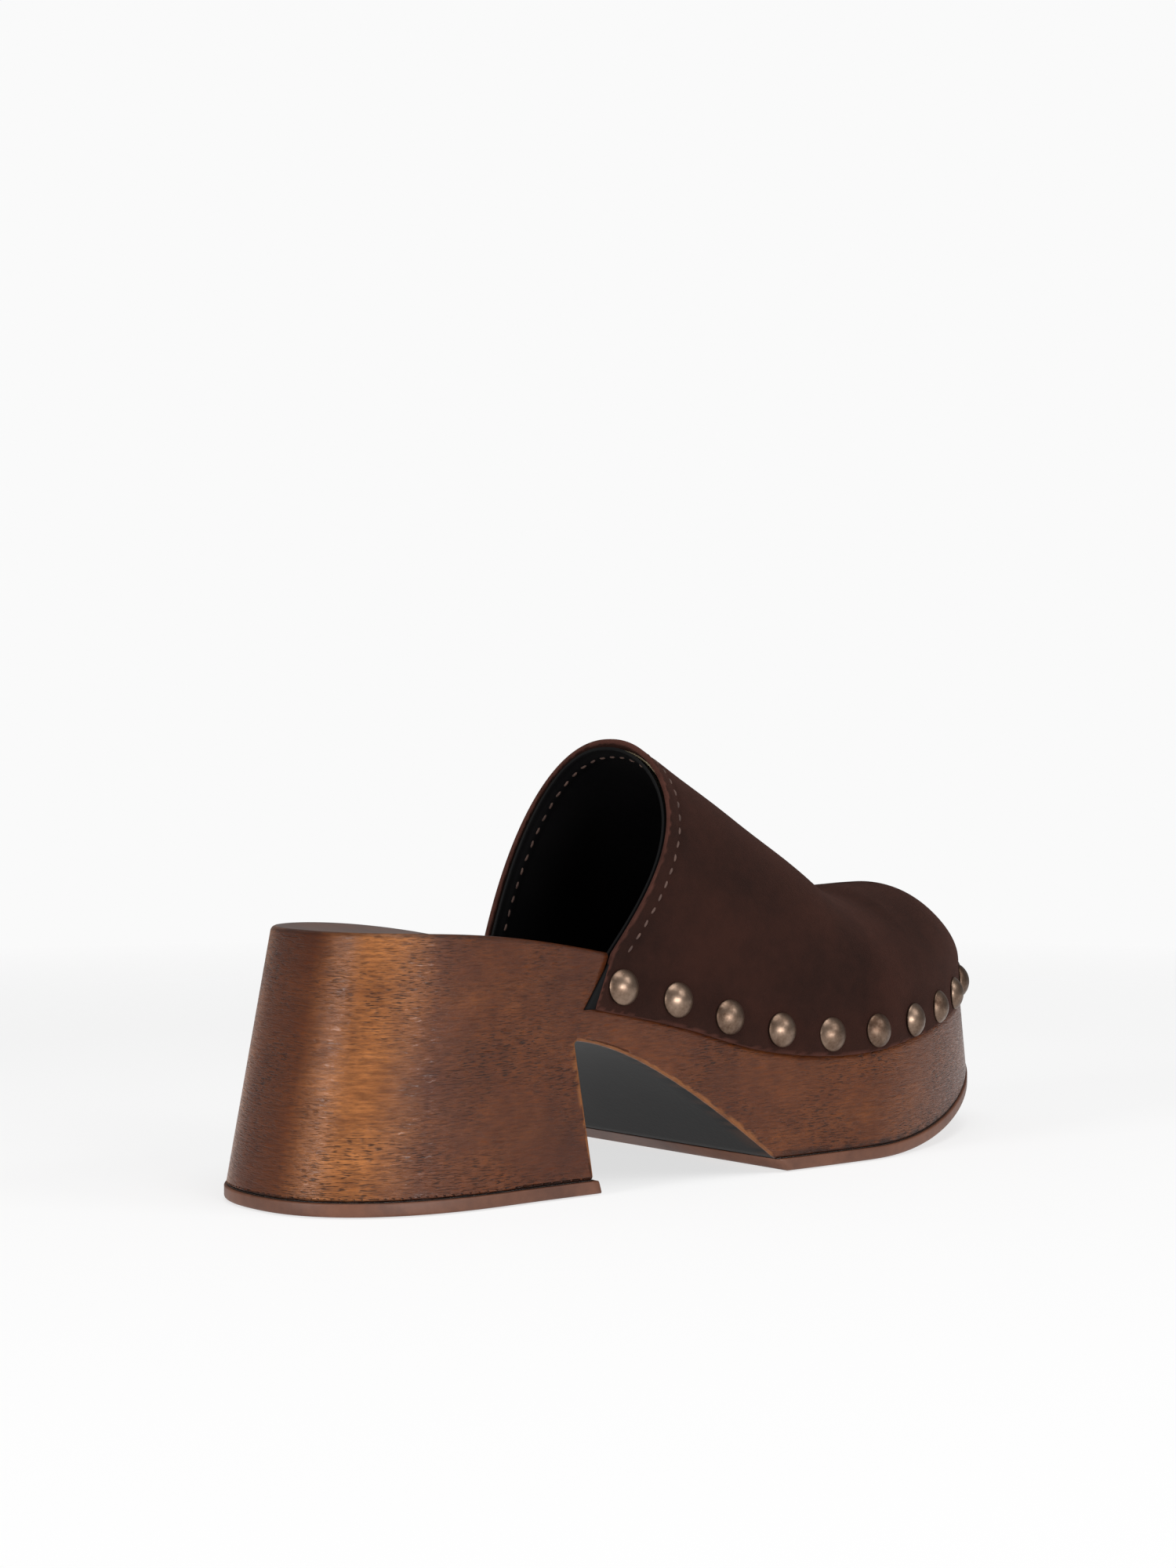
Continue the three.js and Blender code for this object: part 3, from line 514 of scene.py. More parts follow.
def grain_place(side, points):
    """Pattern place on the wall: the way round the sole from the middle of the heel, and height."""
    steps = np.linspace(0, 1, GRAIN_STEPS)
    middle = wall(side, steps, GRAIN_HEIGHT)
    lengths = np.concatenate([[0], np.cumsum(np.linalg.norm(np.diff(middle, axis=0), axis=1))])
    way = np.interp(place_of(points[..., 0], points[..., 2]), steps, lengths)
    return np.stack([side * way, points[..., 2]], axis=-1)


def side_of_sole(side, recess):
    """All wall patches of one side, with the line where the footbed starts and the underside ends."""
    strip = edge_strips[side]
    last_heel, last_breast = len(heel_side) - 1, len(heel_side) + len(breast_side) - 2
    meets = meeting_column(side)
    lower, upper = heel_blocks()
    rear, front = forward_blocks(side)
    below, above, waist, front_wall = (
        wall(side, grid[..., 0], grid[..., 1]) for grid in (lower, upper, rear, front))
    below[0] = strip[0, :last_heel + 1]
    below[:, -1] = strip[0, last_heel:last_breast + 1]
    above[0, -1] = waist[0, 0] = strip[0, last_breast]
    waist[0] = strip[0, last_breast:last_breast + meets + 1]
    front_wall[0] = strip[0, last_breast + meets:]
    above = np.concatenate([above, rim_rows(side, upper[-1, :, 0])])
    waist = np.concatenate([waist, rim_rows(side, rear[-1, :, 0])])
    shoulder = np.stack([waist[LOWER_ROWS:, -1], recess[:, 0]], axis=1)
    ledge = np.stack([front_wall[-1], recess[0]])
    rim_tone = np.zeros(len(above))
    # The rounded rim is darkened half of the way, in patches.
    rim_tone[-ROUND_ROWS:] = DARKENED / 2
    tone = np.zeros(strip.shape[:2])
    # The rounded bottom edges under the heel and the forefoot are darkened, and those of the breast and the
    # arch are worn lighter.
    tone[:, :last_heel] = tone[:, BLACK_TO:] = DARKENED
    tone[:, last_heel:BLACK_TO] = WORN
    toned = [(grid, 0.0) for grid in (below, front_wall, shoulder, ledge, recess)]
    toned += [(above, rim_tone[:, None]), (waist, rim_tone[:, None]), (strip, tone)]
    patches = [patch(grid, grain_place(side, grid), tone=shade) for grid, shade in toned]
    top = np.concatenate([above[-1], waist[-1, 1:], recess[-1]])
    return patches, top, strip[-1]


def footbed(outer, inner):
    """Rungs across the sole between its two rims, with the rim's height less a dish that is
    deepest in the middle: depth times 1 - (2s - 1)^4."""
    share = ACROSS[None, :]
    points = mix(outer[:, None], inner[:, None], share[..., None])
    x = points[..., 0]
    ends = mix(rim_height(outer[:, 0])[:, None], rim_height(inner[:, 0])[:, None], share)
    dish = smooth_through(FOOTBED_DEPTH, x) * (1 - (2 * share - 1) ** 4)
    points[..., 2] += rim_height(x) - ends - dish
    return points


def build_sole(wood, paint, seat):
    """The block of wood, with black paint on the breast and the arch and its own gloss on top."""
    recess = rebate_faces()
    patches, tops, bases = [], {}, {}
    for side in (OUTER, INNER):
        walls, tops[side], bases[side] = side_of_sole(side, recess[side])
        patches += walls
    # The footbed is darkened a quarter of the way, in patches.
    patches.append(patch(footbed(tops[OUTER], tops[INNER]), finish=2, tone=DARKENED / 4))
    base = mix(bases[OUTER][:, None], bases[INNER][:, None], ACROSS[None, ::4, None])
    stops = (0, BLACK_FROM, BLACK_TO, len(base) - 1)
    for start, stop, finish in zip(stops, stops[1:], (0, 1, 0)):
        patches.append(patch(base[start:stop + 1], finish=finish))
    return make_piece("sole_block", patches, [wood, paint, seat], ["wooden_sole"])


# %% [markdown]
# ## The suede upper
# The real upper is cut flat, closed over a last and nailed down. Cloth tools would make it
# wander from its place, so it is drawn as the last would shape it: an arch over the foot whose
# cross-section is a superellipse, with a band below the rim that lies on the flared wall. A
# small shift along the normal then adds what hands and nails do to leather: the pull of the
# seam, dimples round the studs, soft folds at the instep.

# %% The form of the upper
BAND_STEPS = 18
DOME_STEPS = 120
ROW_STEPS = 130
SAME_POINT_STEPS = 500
NEAR_REACH, NEAR_STEP = 9, 0.5
throat_run = UPPER_RIM["toe"] - TOPLINE_TOP
near_topline = np.arange(0, NEAR_REACH, NEAR_STEP) / throat_run
on_to_toe = np.sin(np.linspace(np.arcsin(near_topline[-1]), np.pi / 2, ROW_STEPS + 1)[1:])
forward_rows = np.concatenate([near_topline, on_to_toe])


def dome(turn, forward):
    """The arch over the foot: turn goes from 0 on the outer rim to pi on the inner rim. Across is
    |cos|^(2/power) and up is sin^(2/power) of it, and the ridge closes at the toe as a
    superellipse quarter. Forward 0 is the top line, which falls from the ridge to the rim."""
    side = np.where(turn < np.pi / 2, OUTER, INNER)
    sine = np.maximum(0, np.sin(turn))
    end_x = np.where(side < 0, TOPLINE_END[OUTER], TOPLINE_END[INNER])
    end_power = np.where(side < 0, TOPLINE_POWER[OUTER], TOPLINE_POWER[INNER])
    start_x = mix(TOPLINE_TOP, end_x, (1 - sine ** (2 / THROAT_POWER)) ** end_power)
    x = mix(start_x, UPPER_RIM["toe"], forward)
    change = (x - POWER_CHANGE[0]) / (POWER_CHANGE[1] - POWER_CHANGE[0])
    power = mix(THROAT_POWER, TOE_POWER, ease(change))
    across = side * np.abs(np.cos(turn)) ** (2 / power)
    up = sine ** (2 / power)
    outer, inner = outline_y(UPPER_RIM, OUTER, x), outline_y(UPPER_RIM, INNER, x)
    toe_share = (x - TOE_ROUND_FROM) / (UPPER_RIM["toe"] - TOE_ROUND_FROM)
    ridge = (smooth_through(RIDGE, x) - rim_height(x)) * quarter_round(toe_share, TOE_ROUND_POWER)
    y = (outer + inner) / 2 + across * (inner - outer) / 2
    return np.stack([x, y, rim_height(x) + ridge * up], axis=-1)


def upper_grid():
    """Rows from the top line to the toe; each row goes from the lower edge on the outer side over
    the foot to the lower edge on the inner side."""
    forward = forward_rows[:, None]
    drops = np.linspace(0, 1, BAND_STEPS + 1)[1:]
    sides = {}
    for side in (OUTER, INNER):
        rim_x = mix(TOPLINE_END[side], UPPER_RIM["toe"], forward)
        sides[side] = band(side, rim_x, drops[None], forward)
    middle = dome(np.linspace(0, np.pi, DOME_STEPS + 1)[None], forward)
    return np.concatenate([sides[OUTER][:, ::-1], middle, sides[INNER]], axis=1)


def surface_normals(grid):
    """Unit normals of a grid, with points that coincide sharing the sum of their faces' normals."""
    keys = np.round(grid.reshape(-1, 3) * SAME_POINT_STEPS).astype(np.int64)
    where = np.unique(keys, axis=0, return_inverse=True)[1].reshape(grid.shape[:2])
    corners = [(slice(None, -1), slice(None, -1)), (slice(None, -1), slice(1, None)),
               (slice(1, None), slice(1, None)), (slice(1, None), slice(None, -1))]
    a, b, c, d = (grid[corner] for corner in corners)
    face = np.cross(d - b, c - a).reshape(-1, 3)
    sums = np.zeros((where.max() + 1, 3))
    for corner in corners:
        np.add.at(sums, where[corner].ravel(), face)
    return unit(sums)[where]


# %% Studs, read from their CAD nodes
DOME_REACH = 5


def stud_stands():
    """Top and direction of each stud. Its two vertices that are farthest apart are the point of
    the nail and the top of the dome, and more of its vertices lie near the dome."""
    stands = []
    for number in range(1, STUD_COUNT + 1):
        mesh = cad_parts[f"stud_{number:02d}"].data
        points = np.empty(len(mesh.vertices) * 3)
        mesh.vertices.foreach_get("co", points)
        points = points.reshape(-1, 3) / MM - SHOE_ORIGIN
        apart = np.linalg.norm(points[:, None] - points[None], axis=-1)
        ends = points[list(np.unravel_index(apart.argmax(), apart.shape))]
        crowd = [np.sum(np.linalg.norm(points - end, axis=1) < DOME_REACH) for end in ends]
        tip, top = (ends[0], ends[1]) if crowd[0] < crowd[1] else (ends[1], ends[0])
        stands.append((top, unit(top - tip)))
    return np.array(stands)


studs = stud_stands()
print("stud tops, mm:", studs[[0, 10, 20], 0].round(1).tolist())

# %% What nails, needle and hands do to the leather
STUD_DIMPLE, STUD_DIMPLE_WIDTH = 0.35, 6.0
SEAM_PULL, SEAM_WIDTH = 0.22, 0.9
EDGE_TURN = 0.35
WAVE, RIPPLE = 0.16, 0.1
SMOOTH_BY_TOPLINE = 12
FOLDS_FROM, FOLDS_FULL = 55, 67
FOLD_BEND = 0.004
SADDLE_FOLDS = [(176, 0.30, 5.0), (186, -0.35, 4.0), (163, -0.18, 6.0)]


def worked_leather(grid, normals):
    """Shift along the normal: bells round the studs, a narrow valley along the seam, three soft
    folds across the saddle, and long waves made of sines."""
    x, y, z = np.moveaxis(grid, -1, 0)
    waves = WAVE * np.sin(x / 9.7 + y / 14 + 1.3) * np.sin(z / 8.1 + y / 17)
    waves += RIPPLE * np.sin(x / 4.3 - y / 7.9)
    from_topline = (forward_rows * throat_run)[:, None]
    seam = SEAM_PULL * np.exp(-((from_topline - SEAM_MARGIN) / SEAM_WIDTH) ** 2)
    shift = waves * ease(from_topline / SMOOTH_BY_TOPLINE) - seam
    for top, _ in studs:
        apart = np.linalg.norm(grid - top, axis=-1)
        shift -= STUD_DIMPLE * np.exp(-(apart / STUD_DIMPLE_WIDTH) ** 2)
    above = ease((z - FOLDS_FROM) / (FOLDS_FULL - FOLDS_FROM))
    for fold_x, height, width in SADDLE_FOLDS:
        bend = fold_x + FOLD_BEND * y ** 2
        shift += height * above * np.exp(-((x - bend) / width) ** 2)
    return grid + normals * shift[..., None]


# %% Layers of the upper
smooth_form = upper_grid()
outer_face = worked_leather(smooth_form, surface_normals(smooth_form))
face_normals = surface_normals(outer_face)
LAST_ROW = len(outer_face) - 1
LAST_COLUMN = outer_face.shape[1] - 1
print("upper grid:", outer_face.shape)


def layer(name, depths, rows, columns, bulge, material, node):
    """A closed sheet between two depths under the outer face. Its edge is a half round: depth
    goes as (1 - cos)/2 and the bulge as sin of the same turn."""
    face = outer_face[rows[0]:rows[1] + 1, columns[0]:columns[1] + 1]
    normal = face_normals[rows[0]:rows[1] + 1, columns[0]:columns[1] + 1]
    closes_at_toe = rows[1] == LAST_ROW
    outward = np.zeros_like(face)
    outward[0] += unit(face[0] - face[1])
    outward[:, 0] += unit(face[:, 0] - face[:, 1])
    outward[:, -1] += unit(face[:, -1] - face[:, -2])
    if closes_at_toe:
        outward[-1, [0, -1]] = outward[-1, 0] + outward[-1, -1]
    else:
        outward[-1] += unit(face[-1] - face[-2])

    def border(grid):
        """The grid's edge as one loop, from its first corner and back to it."""
        front = grid[-1, :0] if closes_at_toe else grid[-1, -2::-1]
        return np.concatenate([grid[0], grid[1:, -1], front, grid[-2::-1, 0]])

    rim, rim_normal, rim_outward = border(face), border(normal), unit(border(outward))
    turns = np.linspace(0, np.pi, 6)[:, None, None]
    depth = mix(depths[0], depths[1], (1 - np.cos(turns)) / 2)
    rounded = rim[None] - depth * rim_normal[None] + bulge * np.sin(turns) * rim_outward[None]
    skins = [patch(face - normal * depth) for depth in depths]
    return make_piece(name, [*skins, patch(rounded, tone=WORN)], [material], [node])


# %% The lip of the lining
LIP_WIDTH, LIP_LEAST = 2.8, 0.15
LIP_FROM, LIP_TO = 0.15, 0.85
LIP_GAP = 0.1
LIP_THINNING = 0.6


def lining_lip(side, name, material):
    """A sliver of lining that shows behind the rear end of the suede: a closed sheet on the wall,
    no wider than a thread at the rim and LIP_WIDTH wide at the lower corner."""
    rise = np.linspace(0, 1, 15)
    near = rear_edge(side, rise, LIP_GAP)
    far_x = place_to_x(RIM, near[:, 0]) - LIP_GAP - LIP_LEAST - LIP_WIDTH * (1 - rise)
    far = np.stack([x_to_place(RIM, far_x), rear_edge(side, rise, 0)[:, 1]], axis=-1)
    places, heights = np.moveaxis(mix(near, far, np.linspace(0, 1, 6)[:, None, None]), -1, 0)
    inner, outer = (wall(side, places, heights, grown(RIM, proud, 0), grown(FLOOR, proud, 0))
                    for proud in (LIP_FROM, LIP_TO))
    outer[-1] = mix(inner[-1], outer[-1], LIP_THINNING)
    grids = [inner, outer]
    for end in (0, -1):
        grids += [np.stack([inner[end], outer[end]]), np.stack([inner[:, end], outer[:, end]])]
    return make_piece(name, [patch(grid) for grid in grids], [material])


# %% [markdown]
# ## Stitching
# One row of lockstitch runs beside the top line. Each stitch is a short thread that rises out of
# one hole and goes down the next, so it is a small flattened capsule whose ends dip into the
# leather. All the stitches of a row are one array, placed by their distance along the seam.

# %% The stitches
STITCH_PITCH, STITCH_LENGTH, THREAD_RADIUS = 3.9, 2.5, 0.28
DIP, THREAD_BED = 0.34, 0.1
STITCH_SWAY, SWAY_PACE = 0.12, 2.6
FIRST_STITCH, LAST_STITCH = 0.6, 0.3
THREAD_FLATNESS = 1.25
STITCH_RINGS, STITCH_SIDES = 7, 9
seam_row = int(np.argmin(np.abs(forward_rows * throat_run - SEAM_MARGIN)))
dome_columns = slice(BAND_STEPS, BAND_STEPS + DOME_STEPS + 1)


def stitches(name, depth, facing, node, material):
    """Capsules at even distances along the seam: along is cos u, round is sin u^0.6, and the
    whole sinks as the square of the way to its ends."""
    line = outer_face[seam_row, dome_columns] - depth * face_normals[seam_row, dome_columns]
    lift = facing * face_normals[seam_row, dome_columns]
    way = np.concatenate([[0], np.cumsum(np.linalg.norm(np.diff(line, axis=0), axis=1))])
    at = np.arange(STITCH_PITCH * FIRST_STITCH, way[-1] - STITCH_PITCH * LAST_STITCH, STITCH_PITCH)

    def along_seam(values, where):
        """Values of the seam's points, read at distances along it."""
        return np.stack([np.interp(where, way, values[:, axis]) for axis in range(3)], axis=-1)

    centre, up = along_seam(line, at), unit(along_seam(lift, at))
    ahead = unit(along_seam(line, at + 1) - along_seam(line, at - 1))
    beside = np.cross(up, ahead)
    ahead = unit(ahead + STITCH_SWAY * np.sin(SWAY_PACE * at)[:, None] * beside)
    beside = np.cross(up, ahead)
    u = np.linspace(0, np.pi, STITCH_RINGS)[:, None]
    v = np.linspace(0, 2 * np.pi, STITCH_SIDES)[None]
    reach = np.broadcast_to(np.cos(u), (STITCH_RINGS, STITCH_SIDES))
    thick = np.sin(u) ** 0.6
    frames = [reach * STITCH_LENGTH / 2, thick * np.cos(v) * THREAD_RADIUS * THREAD_FLATNESS,
              thick * np.sin(v) * THREAD_RADIUS - DIP * reach ** 2 + THREAD_RADIUS / 2]
    points = centre[:, None, None] + sum(f[None, ..., None] * d[:, None, None]
                                         for f, d in zip(frames, (ahead, beside, up)))
    return make_piece(name, [patch(capsule) for capsule in points], [material], [node])


# %% [markdown]
# ## Studs and rubber
# A clog nail is pressed from sheet brass over a steel shank, so it is a turned profile: dome,
# lip, hollow underside and shank. The rubber treads are cut from sheet to the outline of the
# sole and rounded on a wheel, so they are loops of the outline at a few heights, closed by rungs.

# %% A stud
STUD_RADIUS, STUD_HEIGHT, STUD_SINK, STUD_LIP = 4.45, 2.3, 0.55, 0.55
NAIL_RADIUS, NAIL_LENGTH, NAIL_POINT = 0.8, 10.7, 2
STUD_SIDES, DOME_RINGS = 48, 16
DOME_POWER = 0.8
RIM_PROFILE = [(1.004, 0.33), (0.985, 0.1), (0.95, 0), (0.9, 0.15)]
HOLLOW = 0.3


def build_stud(number, top, axis, material):
    """Turned profile round the nail's axis: the dome, whose height goes as (1 - r^2)^0.8, the
    rim as shares of the radius and heights over the base, and the nail."""
    r = np.sin(np.linspace(0, np.pi / 2, DOME_RINGS))
    dome_height = STUD_HEIGHT + STUD_SINK - STUD_LIP
    dome_line = np.stack([r * STUD_RADIUS, dome_height * ((1 - r ** 2) ** DOME_POWER - 1)], axis=-1)
    base, point = -(STUD_HEIGHT + STUD_SINK), -(NAIL_LENGTH + STUD_HEIGHT)
    rim = [(STUD_RADIUS * share, base + height) for share, height in RIM_PROFILE]
    nail = [(NAIL_RADIUS, base + HOLLOW), (NAIL_RADIUS, point + NAIL_POINT), (0, point)]
    profile = np.concatenate([dome_line, rim, nail])
    aside = unit(np.cross(axis, [0, 0, 1.0]))
    other = np.cross(axis, aside)
    turn = np.linspace(0, 2 * np.pi, STUD_SIDES + 1)[None, :, None]
    points = (top + profile[:, 1][:, None, None] * axis
              + profile[:, 0][:, None, None] * (np.cos(turn) * aside + np.sin(turn) * other))
    number = f"{number:02d}"
    return make_piece("stud_head_" + number, [patch(points)], [material], ["stud_" + number])


# %% Rubber treads and the cement above them
RUBBER_PROUD, RUBBER_SKIVE, RUBBER_RAKE = 0.5, 4, 0.3
LOWER_ROUND, UPPER_ROUND = 0.7, 0.42
round_turns = np.linspace(0, np.pi / 2, 6)
quarter = list(zip(1 - np.cos(round_turns), 1 - np.sin(round_turns)))
TREAD_PROFILE = [(WOOD_BOTTOM - LOWER_ROUND * a, LOWER_ROUND * b - RUBBER_PROUD) for a, b in quarter]
TREAD_PROFILE += [(GAP + UPPER_ROUND * b, UPPER_ROUND * a - RUBBER_PROUD) for a, b in quarter]
CEMENT_PROFILE = [(0.27, 0.45), (0.25, 0.3), (0.05, 0.3), (0.03, 0.45)]
CEMENT_SHORT_OF_BREAST, CEMENT_SHORT_OF_ARCH = 0.3, 0.8
HEEL_RUNGS, FOREFOOT_RUNGS = 70, 90


def tread(name, profile, ends, bottom, rungs, material, stands_for):
    """Loops of the sole's outline, each lower than the wood by its first number and inside it by
    its second. They run between a rear and a front end, each given as its X under the wood and
    how far it moves forwards per millimetre down."""
    loops, sides = [], []
    for below, inset in profile:
        rim, floor = moved_in(inset)
        rear, front = (x_to_place(floor, x + lean * below) for x, lean in ends)
        places = mix(rear, front, np.linspace(0, 1, rungs))
        z = bottom(place_to_x(floor, places))
        pair = [wall(side, places, z, rim, floor) for side in (OUTER, INNER)]
        for line in pair:
            line[:, 2] = bottom(line[:, 0]) - below
        loops.append(np.concatenate([pair[0], pair[1][::-1], pair[0][:1]]))
        sides.append(np.stack(pair, axis=1))
    patches = [patch(np.stack(loops)), patch(sides[0]), patch(sides[-1])]
    return make_piece(name, patches, [material], stands_for)


# %% [markdown]
# ## Finishes
# The finishes are built from noise in the object's own space, and the grain of the wood from
# noise on its UV map. Three effects serve several of them, so they are node groups: an uneven
# tone between two colours, a fine relief, and the wear or darkening of edges.

# %% Node helpers
def linear(red, green, blue):
    """A display colour of 0 to 255 as linear red, green, blue and alpha."""
    share = np.array([red, green, blue]) / 255
    return (*np.where(share <= 0.04045, share / 12.92, ((share + 0.055) / 1.055) ** 2.4), 1.0)


def feed(tree, node, inputs):
    """Fills a node's inputs: a value that is itself a socket is linked, and any other is set."""
    for key, value in inputs.items():
        if isinstance(value, bpy.types.NodeSocket):
            tree.links.new(value, node.inputs[key])
        else:
            node.inputs[key].default_value = value


def add_node(tree, kind, inputs, **settings):
    """A node with its settings and its inputs."""
    made = tree.nodes.new(kind)
    for key, value in settings.items():
        setattr(made, key, value)
    feed(tree, made, inputs)
    return made


def new_group(name, inputs, outputs):
    """An empty node group with named sockets, and its input and output nodes."""
    tree = bpy.data.node_groups.new(name, "ShaderNodeTree")
    for label, kind in inputs:
        tree.interface.new_socket(label, in_out="INPUT", socket_type=kind)
    for label, kind in outputs:
        tree.interface.new_socket(label, in_out="OUTPUT", socket_type=kind)
    return tree, tree.nodes.new("NodeGroupInput").outputs, tree.nodes.new("NodeGroupOutput").inputs


def noise(tree, vector, scale, detail=4.0, roughness=0.55):
    """A noise texture's factor."""
    settings = {"Vector": vector, "Scale": scale, "Detail": detail, "Roughness": roughness}
    return add_node(tree, "ShaderNodeTexNoise", settings).outputs["Fac"]


def between(tree, value, low, high, to_low=0.0, to_high=1.0):
    """A value carried from one range to another, and held inside it."""
    settings = {"Value": value, "From Min": low, "From Max": high, "To Min": to_low, "To Max": to_high}
    return add_node(tree, "ShaderNodeMapRange", settings).outputs["Result"]


def blend(tree, factor, first, second):
    """Two colours mixed by a factor."""
    return add_node(tree, "ShaderNodeMix", {0: factor, 6: first, 7: second}, data_type="RGBA").outputs[2]


def combine(tree, first, second, how="MULTIPLY"):
    """Arithmetic on two values, which are multiplied unless another way is named."""
    return add_node(tree, "ShaderNodeMath", {0: first, 1: second}, operation=how).outputs[0]


def distance(tree, value, middle):
    """How far a value is from a middle one."""
    return combine(tree, combine(tree, value, middle, "SUBTRACT"), 0.0, "ABSOLUTE")


# %% Shared effects
VECTOR, FLOAT, COLOUR = "NodeSocketVector", "NodeSocketFloat", "NodeSocketColor"
FINER, BROAD_SHARE, FINE_SHARE = 9.0, 0.7, 0.3
PATCHES_PER_METRE = 180.0

tone_group, given, result = new_group(
    "uneven_tone", [("Vector", VECTOR), ("Scale", FLOAT), ("Dark", COLOUR), ("Light", COLOUR)],
    [("Color", COLOUR), ("Mask", FLOAT)])
broad = noise(tone_group, given["Vector"], given["Scale"], 3.0, 0.5)
fine = noise(tone_group, given["Vector"], combine(tone_group, given["Scale"], FINER), 5.0, 0.6)
broad, fine = combine(tone_group, broad, BROAD_SHARE), combine(tone_group, fine, FINE_SHARE)
both = combine(tone_group, broad, fine, "ADD")
spread = between(tone_group, both, 0.36, 0.64)
tone_group.links.new(blend(tone_group, spread, given["Dark"], given["Light"]), result["Color"])
tone_group.links.new(spread, result["Mask"])

relief_group, given, result = new_group(
    "fine_relief", [("Vector", VECTOR), ("Scale", FLOAT), ("Strength", FLOAT), ("Depth", FLOAT)],
    [("Normal", VECTOR)])
coarse = noise(relief_group, given["Vector"], given["Scale"], 5.0, 0.65)
relief = add_node(relief_group, "ShaderNodeBump",
                  {"Height": coarse, "Strength": given["Strength"], "Distance": given["Depth"]})
relief_group.links.new(relief.outputs["Normal"], result["Normal"])

# Edge tone above 0 moves the colour towards the worn colour, and below 0 makes it darker, both in patches.
edge_group, given, result = new_group(
    "edge_wear_and_darkening", [("Color", COLOUR), ("Worn", COLOUR), ("Soot", COLOUR), ("Vector", VECTOR)],
    [("Color", COLOUR)])
edge_tone = add_node(edge_group, "ShaderNodeAttribute", {}, attribute_name=TONE_NAME).outputs["Fac"]
patchy = between(edge_group, noise(edge_group, given["Vector"], PATCHES_PER_METRE, 4.0, 0.6), 0.3, 0.6, 0.35)
worn = combine(edge_group, between(edge_group, edge_tone, 0.0, 1.0), patchy)
darkening = combine(edge_group, between(edge_group, edge_tone, 0.0, -1.0), patchy)
darkened = blend(edge_group, darkening, given["Color"], given["Soot"])
edge_group.links.new(blend(edge_group, worn, darkened, given["Worn"]), result["Color"])


def use(tree, group, **inputs):
    """Places a shared effect in a material with its own values."""
    made = add_node(tree, "ShaderNodeGroup", {}, node_tree=group)
    feed(tree, made, inputs)
    return made


def new_finish(name):
    """A material with its tree, its Principled shader and the object's own coordinates."""
    made = bpy.data.materials.new(name)
    made.use_nodes = True
    tree = made.node_tree
    shader = next(n for n in tree.nodes if n.type == "BSDF_PRINCIPLED")
    place = tree.nodes.new("ShaderNodeTexCoord").outputs["Object"]
    return made, tree, shader, place


# %% [markdown]
# ### Lacquered wood
# The block is stained brown, then lacquered. Close up it shows long faint bands, fine streaks,
# and short dark pores that run the way of the grain and gather in patches. The pattern reads
# the piece's own UV map, which is the way round the sole and the height, so that the grain
# follows the carved wall instead of being cut across it at the heel.

# %% The wood
# Where the golden band of painted light round the heel corners and the painted shade at the back of the heel
# lie, as the way round the sole in metres.
HEEL_CORNER, CORNER_REACH, CORNER_CORE = 0.025, 0.017, 0.004
PAINTED_SHADE_FROM, PAINTED_SHADE_FULL = 0.014, 0.004


def grain_figure(tree, grain, along, across, detail, roughness, low, high, least=0.0):
    """Noise with its own number of repeats per metre along and across the grain, spread from
    least to 1 between two of its values."""
    place = add_node(tree, "ShaderNodeMapping", {"Vector": grain, "Scale": (along, across, 1)})
    return between(tree, noise(tree, place.outputs["Vector"], 1.0, detail, roughness), low, high, least)


